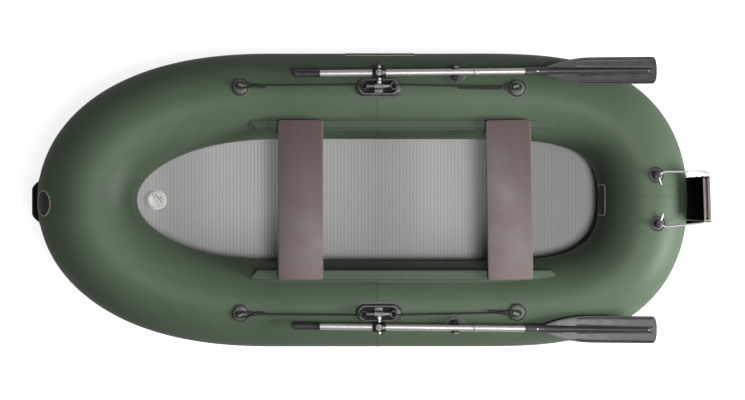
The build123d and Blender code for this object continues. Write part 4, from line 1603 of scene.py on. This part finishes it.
# ---- grab lines ----
# Black braided rope, pulled tight from an eye at each end into the oarlock base. It is looped
# round each eye's bar, and its tail is whipped to the standing part.
rope_radius = 0.005
braid, tree, shader = finish_material("rope_braid")
rope_place = axes(tree, add_node(tree, "ShaderNodeUVMap", uv_map="skin_map").outputs[0])
around_rope = maths(tree, "MULTIPLY", rope_place[1], 8 / rope_radius)
along_rope = maths(tree, "MULTIPLY", rope_place[0], 2 * math.pi / 0.009)
leaning = [
    maths(tree, "SINE", maths(tree, way, along_rope, around_rope)) for way in ("ADD", "SUBTRACT")
]
fuzz_place = add_node(tree, "ShaderNodeTexCoord").outputs["Object"]
fuzzed = maths(tree, "ADD", maths(tree, "MAXIMUM", *leaning), noise(tree, fuzz_place, 1800.0, 3.0))
strands = ramp(tree, fuzzed, 0.3, 1.6)
rope_bump = add_node(
    tree, "ShaderNodeBump", {"Height": strands, "Strength": 0.8, "Distance": 0.0006}
)
rope_colour = blend(tree, strands, (0.006, 0.007, 0.006, 1), (0.030, 0.033, 0.029, 1))
tree.links.new(rope_colour, shader.inputs["Base Color"])
tree.links.new(rope_bump.outputs[0], shader.inputs["Normal"])
shader.inputs["Roughness"].default_value = 0.72


def rounded_run(corners, bend, steps=5):
    """A line through corners, each eased by a smooth bend that starts the same length from it."""
    corners = [Vector(corner) for corner in corners]
    points = [corners[0]]
    for before, corner, after in zip(corners, corners[1:], corners[2:]):
        reach_in = min(bend, (before - corner).length * 0.48)
        reach_out = min(bend, (after - corner).length * 0.48)
        start = corner + (before - corner).normalized() * reach_in
        stop = corner + (after - corner).normalized() * reach_out
        for step in range(steps + 1):
            share = step / steps
            bent = corner * 2 * share * (1 - share)
            points.append(start * (1 - share) ** 2 + bent + stop * share**2)
    return points + [corners[-1]]


def rod(name, points, sign, radius, sides, material):
    """A round rod or cord along a line of points, a little finer at its ends."""
    placed = [(point[0], sign * point[1], point[2]) for point in points]
    girths = [radius * 0.8] + [radius] * (len(placed) - 2) + [radius * 0.8]
    return grow(name, line_mesh("rod", placed, girths), skin_tree, Sides=sides, Material=material)


def rope(name, points, sign, radius=rope_radius):
    """A length of braided rope along a line of points."""
    piece = rod(name, points, sign, radius, 14, braid)
    skin_map(piece, radius)
    return piece


tail_length = {
    ("fore", "port"): 0.050, ("fore", "starboard"): 0.050, ("aft", "port"): 0.060,
    ("aft", "starboard"): 0.195,
}
wrap_pitch = 0.0022
for side, sign in sides:
    for place_name, eye_x, eye_roll, inward in line_eyes:
        seat = skin_seat(eye_x, eye_roll)
        post_end = base_seat(-inward * 0.062, 0.010, 0.016)
        knot = Vector(seat(inward * 0.066, -0.001, 0.0125))
        main = rope(f"grab_line_{place_name}_{side}", [post_end, knot], sign)
        loop_corners = [
            knot,
            seat(inward * 0.038, 0.0105, 0.0130), seat(inward * 0.004, 0.0145, 0.0130),
            seat(-inward * 0.018, 0.0090, 0.0130), seat(-inward * 0.018, -0.0060, 0.0130),
            seat(inward * 0.004, -0.0110, 0.0130), seat(inward * 0.038, -0.0090, 0.0130),
            knot + Vector((inward * 0.004, -0.003, 0)),
        ]
        eased_loop = rounded_run(loop_corners, 0.012)
        loop = rope(f"line_loop_{place_name}_{side}", eased_loop, sign, 0.0045)
        way = (Vector(post_end) - knot).normalized()
        tail = [
            knot + Vector((0, -0.0035, 0.001)), knot + way * 0.020 + Vector((0, -0.0085, -0.001)),
            knot + way * tail_length[place_name, side] + Vector((0, -0.0090, -0.001)),
        ]
        tail_rope = rope(f"line_tail_{place_name}_{side}", rounded_run(tail, 0.012), sign, 0.0042)
        whipping_turns = []
        for wrap in range(7):
            start = wrap * wrap_pitch
            whipping_turns += [(start, 0.0078), (start + wrap_pitch / 2, 0.0088)]
        whipping = turned(
            knot - way * 0.002 + Vector((0, -0.002, 0)), way,
            [(0, 0.0060)] + whipping_turns + [(0.0154, 0.0060)], 24,
        )
        bound = moulding(f"line_whipping_{place_name}_{side}", [(whipping, dark_rubber)], sign)
        fit(main, "hull", "rope_braid", *([f"grab_line_{side}"] if place_name == "fore" else []))
        for piece in (loop, tail_rope, bound):
            fit(piece, "hull", "rope_braid")


# ---- bow handle ----
# A stiff moulded rubber grab handle for carrying and towing the boat. A web joins its bar to the
# nose of the tube, and its flared ends are glued on oval pads.
nose_x = bow_form["end"] + bow_form["radius"]
nose_z = side_height + bow_form["rise"]


def both_halves(half):
    """An outline in plan from its starboard half: forward of the nose, and out to the side."""
    starboard = [(nose_x + x, -y) for x, y in half]
    return starboard + [(x, -y) for x, y in reversed(starboard)]


outer_side = mm((-30, 91), (1, 91), (12, 83), (23.5, 70), (29, 60), (30, 50))
inner_side = mm((-30, 69), (-2, 69), (10, 63), (19, 55), (20, 45))
web_side = mm((-30, 86), (2, 86), (23, 64), (25, 50))
handle_section = both_halves(outer_side) + both_halves(inner_side)[::-1]
handle_y = 0.007


def handle_form(section, half_height):
    """Closed shell of a section in plan, half of it above the nose's height and half below."""
    low, high = (lambda u, v, z=nose_z + way * half_height: (u, v + handle_y, z) for way in (-1, 1))
    return prism(section, low, high)


handle = softened(handle_form(handle_section, 0.016), 0.0042)
web = handle_form(both_halves(web_side), 0.002)
handle_parts = [(handle, matt_black), (web, matt_black)]
for way in (1, -1):
    handle_parts.append((
        stack(
            rounded_box(0.062, 0.078, 0.018, 6, 5),
            mm((-0.4, -3), (0, 1.8), (0.8, 2.8), (3, 3.2), (4.5, 2.6)),
            end_seat(bow_line, 90, way * 0.080 + handle_y), fill=4,
        ),
        patch_rubber,
    ))
for rib in range(9):
    place_y = (rib - 4) * 0.0095 + handle_y
    handle_parts.append((
        stack(
            rounded_box(0.0028, 0.022, 0.0012, 2), mm((0, -1), (0, 0.6), (0.6, 1)),
            lambda a, b, lift, place_y=place_y: (nose_x + 0.030 + lift, place_y + a, nose_z + b),
        ),
        matt_black,
    ))
fit(moulding("bow_grab_handle", handle_parts), "hull", "black_rubber", "bow_handle")


# ---- bow badge and side plates ----
# Welded blank patches where a maker would print a name: a round one on the bow with a tan ring,
# one inside the stern with a tan edge, and a long dark one outside the starboard tube.
badge_face = moulded(
    "badge_face", (0.016, 0.020, 0.013), 0.3, 0.0002, 0.2, Roughness=0.5, Bloom=0.02
)


def rimmed_plate(outline, seat, rim):
    """A thin patch with a raised tan edge round a plain face."""
    edge = stack(
        outline,
        [
            (-0.0003, -0.002), (0, 0.0012), (0.0006, 0.0018), (rim - 0.0006, 0.0018),
            (rim, 0.0012), (rim + 0.0003, 0.0004),
        ],
        seat, fill=5,
    )
    middle = stack(
        outline, [(rim - 0.0002, -0.001), (rim + 0.0001, 0.0012), (rim + 0.0020, 0.0014)], seat,
        fill=7,
    )
    return [(edge, tan_trim), (middle, badge_face)]


for name, outline, seat, rim, sign in (
    ("bow_badge", disc(0.116, 14), end_seat(bow_line, 47.5, 0.014), 0.0052, 1),
    ("stern_plate", rounded_box(0.152, 0.090, 0.010, 6, 9), end_seat(stern_line, -81), 0.0045, 1),
    ("side_plate", rounded_box(0.318, 0.136, 0.012, 6, 14), side_seat(-0.054, 85), 0.0045, -1),
):
    fit(moulding(name, rimmed_plate(outline, seat, rim), sign), "hull", "patch_rubber")


# ---- clip-on transom ----
# A small outboard bracket. Two ply cheeks with a spacer between them hang a little askew from
# steel arms, whose bent ends are held by four clamps on the stern tube.
board_front = -1.479
board_high = 0.440
board_low = 0.130
board_middle = (board_high + board_low) / 2
board_film = finished(
    "board_film", film_tree, 0.25, 0.0003,
    {"Colour": (0.004, 0.004, 0.004, 1), "Roughness": 0.6, "Scuffs": 0.02},
    {"Specular IOR Level": 0.1, "IOR": 1.05},
)
front_edge = ply_edge("front_edge", 0, board_front, (0.23, 0.205, 0.175, 1), (0.15, 0.125, 0.10, 1))
back_edge = ply_edge("back_edge", 0, board_front, (0.22, 0.185, 0.195, 1), (0.14, 0.110, 0.115, 1))
core_brown = moulded("core_brown", (0.030, 0.017, 0.017), 0.5, Roughness=0.5)
board_turn = math.radians(1.9)
board_aside = -0.006


def on_board(depth, b, z):
    """Point of the board: aft from its front face, to port from its middle, and its height."""
    return (
        board_front - depth * math.cos(board_turn) - b * math.sin(board_turn),
        board_aside + b * math.cos(board_turn) - depth * math.sin(board_turn), z,
    )


for name, depth, thickness, inset, edge_material, face_material, *nodes in (
    ("transom_front_cheek", 0, 0.009, 0, front_edge, board_film, "transom_board"),
    ("transom_spacer", 0.009, 0.010, 0.0035, core_brown, core_brown),
    ("transom_back_cheek", 0.019, 0.013, 0, back_edge, board_film),
):
    eased = mm((1.2, 0), (0.3, 0.3), (0, 1.2))
    profile = eased + [(i, thickness - level) for i, level in reversed(eased)]
    shell = stack(
        rounded_box(board_high - board_low - 2 * inset, 0.194 - 2 * inset, 0.012, 6), profile,
        lambda a, b, lift: on_board(depth + lift, b, board_middle + a),
    )
    cheek = moulding(name, [(shell, face_material)])
    show_edge(cheek, 0, edge_material)
    fit(cheek, "hull", "transom_ply", *nodes)

rod_radius = 0.0050
stern_radius = stern_form["radius"]
stern_z = side_height + stern_form["rise"]
low_roll = math.radians(125)
board_edge = 0.097
clamp_x = {"port": -1.283, "starboard": -1.276}
clamp_y = {"port": 0.104, "starboard": 0.110}
arm_end = {"port": (-1.486, 0.0995), "starboard": (-1.418, 0.1240)}
flat_ends = {
    "port": [(-1.478, 0.1003), (-1.500, 0.0985)],
    "starboard": [(-1.408, 0.1235), (-1.474, 0.1235), (-1.497, 0.1170), (-1.5075, 0.1090)],
}


def stern_eye_seat(roll, y):
    """Places points on the aft side of the stern tube round a clamp: outboard, round and up."""

    def place(a, b, lift):
        turned_to = roll + b / stern_radius
        reach_out = stern_radius + lift
        return (
            stern_form["end"] - reach_out * math.sin(turned_to), y + a,
            stern_z + reach_out * math.cos(turned_to),
        )

    return place


def flat_bar(corners, wide, thick):
    """Closed shell of a flat bar on its side, bent at each corner in plan."""
    corners = [Vector(corner) for corner in corners]
    rings = []
    for index, corner in enumerate(corners):
        before, after = corners[max(index - 1, 0)], corners[min(index + 1, len(corners) - 1)]
        way = (after - before).normalized()
        across = Vector((-way.y, way.x, 0))
        rings.append([
            corner + across * (side * wide / 2) + Vector((0, 0, level * thick / 2))
            for side, level in ((-1, -1), (1, -1), (1, 1), (-1, 1))
        ])
    return softened(ring_shell(rings), 0.0006)


clamp_profile = mm((0, 3), (0.6, 12), (1.6, 18.5), (3, 22), (5.5, 23.6))
knob_profile = mm((0, 8.8), (1.2, 10), (6.2, 10), (8.2, 8.6), (9.2, 4))
cup_profile = mm((0, 0.8), (1, 4.4), (4, 5.6), (7, 4.4), (8, 0.8))
bolt_head = mm((0, 6.2), (1.2, 6), (2.6, 4.4), (3, 1.8))
for side, sign in sides:
    middle_y = clamp_y[side]
    top_roll = math.asin((stern_form["end"] - clamp_x[side]) / stern_radius)
    top_seat = stern_eye_seat(top_roll, middle_y)
    low_seat = stern_eye_seat(low_roll, 0.107)
    top_rod, low_rod = top_seat(0, 0, 0.017), low_seat(0, 0, 0.016)
    arm_x, arm_y = arm_end[side]
    top_run = [
        (clamp_x[side] - 0.019, middle_y - 0.044, top_rod[2]),
        (clamp_x[side] - 0.004, middle_y, top_rod[2]),
        (clamp_x[side] - 0.030, middle_y + 0.0155, top_rod[2]), (arm_x, arm_y, top_rod[2]),
    ]
    low_run = [
        (low_rod[0], 0.067, low_rod[2]), (low_rod[0], 0.118, low_rod[2]),
        (board_front - 0.012, board_edge + sign * board_aside + 0.009, low_rod[2] + 0.034),
    ]
    for level, seat, run_corners in (("top", top_seat, top_run), ("low", low_seat, low_run)):
        flange = stack(disc(0.070), flange_profile, seat, fill=2)
        clamp = stack(rounded_box(0.036, 0.032, 0.012, 5), clamp_profile, seat, fill=2)
        normal = Vector(seat(0, 0, 1.0)) - Vector(seat(0, 0, 0.0))
        knob = turned(seat(0.0045, -0.0120, 0.0195), normal, knob_profile, 24)
        cup = hoop(disc(0.052, 10), cup_profile, seat)
        eye = moulding(
            f"transom_clamp_{level}_{side}",
            [(flange, patch_rubber), (cup, rim_highlight_rubber), (clamp, patch_rubber), (knob, matt_black)],
            sign,
        )
        fit(eye, "hull", "patch_rubber", f"transom_eye_{level}_{side}")
        arm = rod(
            f"transom_rod_{level}_{side}", rounded_run(run_corners, 0.020, 9), sign, rod_radius,
            20, bright_steel,
        )
        fit(arm, "hull", "bright_steel", *([f"transom_arm_{side}"] if level == "top" else []))
    bar_wide = {"port": 0.0070, "starboard": 0.0140}[side]
    bar = flat_bar([(x, y, top_rod[2]) for x, y in flat_ends[side]], bar_wide, 0.0075)

    def on_end(along_by, depth, out):
        """Places points on the end of the board, for a piece that is built on the port side."""
        x, y, z = on_board(depth, sign * (board_edge + out), board_middle + along_by)
        return (x, sign * y, z)

    def end_plate(section):
        """A plate up the board's end, from its outline in height and distance out."""
        return prism(section, lambda u, v: on_end(u, 0.0015, v), lambda u, v: on_end(u, 0.0310, v))

    bracket_parts = [(bar, bright_steel)]
    if side == "port":
        edging = mm((-150, -2), (150, -2), (150, 2), (-150, 6.2))
        wedge = mm((-150, 6.2), (150, 2), (150, 7.2), (-150, 20))
        bracket_parts += [(end_plate(edging), tan_trim), (end_plate(wedge), board_film)]
    else:
        cover = mm((-150, -2), (150, -2), (150, 1.2), (-150, 1.2))
        bracket_parts.append((end_plate(cover), board_film))
    for bolt_z in (-0.100, 0.0, 0.100):
        stand = 0.0134 - bolt_z * 0.043 if side == "port" else 0.0010
        start, stop = (Vector(on_end(bolt_z, 0.0165, stand + out)) for out in (0, 0.001))
        bracket_parts.append((turned(start, stop - start, bolt_head, 20), bright_steel))
    brackets = moulding(f"transom_bracket_{side}", bracket_parts, sign)
    fit(brackets, "hull", "bright_steel")


# ---- floor valve ----
# The air floor's valve: a welded ring with a screw cap in off-white nylon. A bar across the cap
# gives a grip for the fingers, and an ear on its edge holds the cap's strap.
valve_x = 0.989
slope_reach = 0.04
valve_white = moulded(
    "valve_white", (0.74, 0.75, 0.72), 0.3, 0.0002, Roughness=0.42, Grain=700.0, Bloom=0.05
)
# Painted shade: dark strips beside the grip bar and a dark patch on the cap stand for the shade in
# its recesses.
valve_recess_shade = moulded("valve_recess_shade", (0.17, 0.17, 0.16), 0.3, 0.0002, Roughness=0.5)
aft_height, fore_height = np.interp(
    (valve_x - slope_reach, valve_x + slope_reach), keel_x, keel_z
)
floor_slope = float((fore_height - aft_height) / (2 * slope_reach))
valve_up = Vector((-floor_slope, 0, 1)).normalized()
valve_fore = Vector((1, 0, floor_slope)).normalized()
valve_foot = Vector((valve_x, 0, float(np.interp(valve_x, keel_x, keel_z)) + 0.0805))


def valve_seat(a, b, lift):
    """Places points on the floor round its valve: forward, to port and up."""
    return valve_foot + valve_fore * a + Vector((0, 1, 0)) * b + valve_up * lift


def cap_seat(a, b, lift):
    """The valve's seat turned to face the way that its cap was left."""
    turn = math.radians(124)
    return valve_seat(
        a * math.cos(turn) - b * math.sin(turn), a * math.sin(turn) + b * math.cos(turn), lift
    )


valve_ring = stack(
    disc(0.091),
    mm(
        (0, -1), (0, 1.6), (1, 2.4), (4.8, 2.6), (5.2, 8.5), (6, 10), (7.5, 10.4), (8.8, 9.6),
        (9.4, 6),
    ),
    valve_seat, fill=2,
)
valve_cap = stack(
    disc(0.069),
    mm((0, 5), (0, 8.2), (1.2, 9.4), (4, 9.6), (5, 7.8), (7, 7.2)),
    valve_seat, fill=3,
)
grip_bar = stack(
    rounded_box(0.058, 0.0105, 0.004, 4),
    mm((0, 6), (0, 11.2), (1, 12.2), (2.6, 12.4)), shifted(cap_seat, 0, 0.0045),
)
groove_bar = stack(
    rounded_box(0.054, 0.0048, 0.002, 3), mm((0, 6), (0, 9.2), (0.6, 9.6)),
    shifted(cap_seat, 0, 0.0122),
)
hollow = stack(
    rounded_box(0.010, 0.0050, 0.0025, 4), mm((0, 6), (0, 9.4), (0.5, 9.8)),
    shifted(cap_seat, 0.004, 0.0225),
)
ear = stack(
    rounded_box(0.012, 0.010, 0.004, 4), mm((0, -1), (0, 6), (1, 7)),
    shifted(valve_seat, -0.034, 0.028),
)
valve = moulding(
    "floor_valve_cap",
    [
        (valve_ring, valve_white), (valve_cap, valve_white), (grip_bar, valve_white),
        (groove_bar, valve_recess_shade), (hollow, valve_recess_shade), (ear, valve_white),
    ],
)
fit(valve, "hull", "valve_cap", "floor_valve")


# ---- chamber valves ----
# Each air chamber fills through a screw valve low on the inside of the port tube. The cap has
# finger ribs round its edge.
rib_count = 20
rib_reach = 0.0224
for valve_name, chamber_valve_x in (("bow_chamber_valve", 0.300), ("stern_chamber_valve", -0.520)):
    seat = skin_seat(chamber_valve_x, -115)
    normal = Vector(seat(0, 0, 1.0)) - Vector(seat(0, 0, 0.0))
    flange = stack(disc(0.060, 10), mm((-0.4, -3), (0, 1.4), (0.8, 2.2), (4, 2.4)), seat, fill=3)
    cap = turned(
        seat(0, 0, 0), normal,
        mm((1, 22.5), (5.5, 22.5), (6.8, 21.4), (7.4, 19), (6.8, 16), (6.8, 2)),
        40,
    )
    cap_parts = [(flange, patch_rubber), (cap, black_plastic)]
    for rib in range(rib_count):
        turn = 2 * math.pi * rib / rib_count
        middle = seat(rib_reach * math.cos(turn), rib_reach * math.sin(turn), 0.0015)
        finger_rib = turned(middle, normal, mm((0, 1.3), (4.2, 1.3), (5, 0.7)), 6)
        cap_parts.append((finger_rib, black_plastic))
    knob_bar = stack(rounded_box(0.034, 0.007, 0.003, 3), mm((0, 6), (0, 9.2), (1, 10.2)), seat)
    cap_parts.append((knob_bar, black_plastic))
    fit(moulding(f"{valve_name}_cap", cap_parts), "hull", "valve_cap", valve_name)
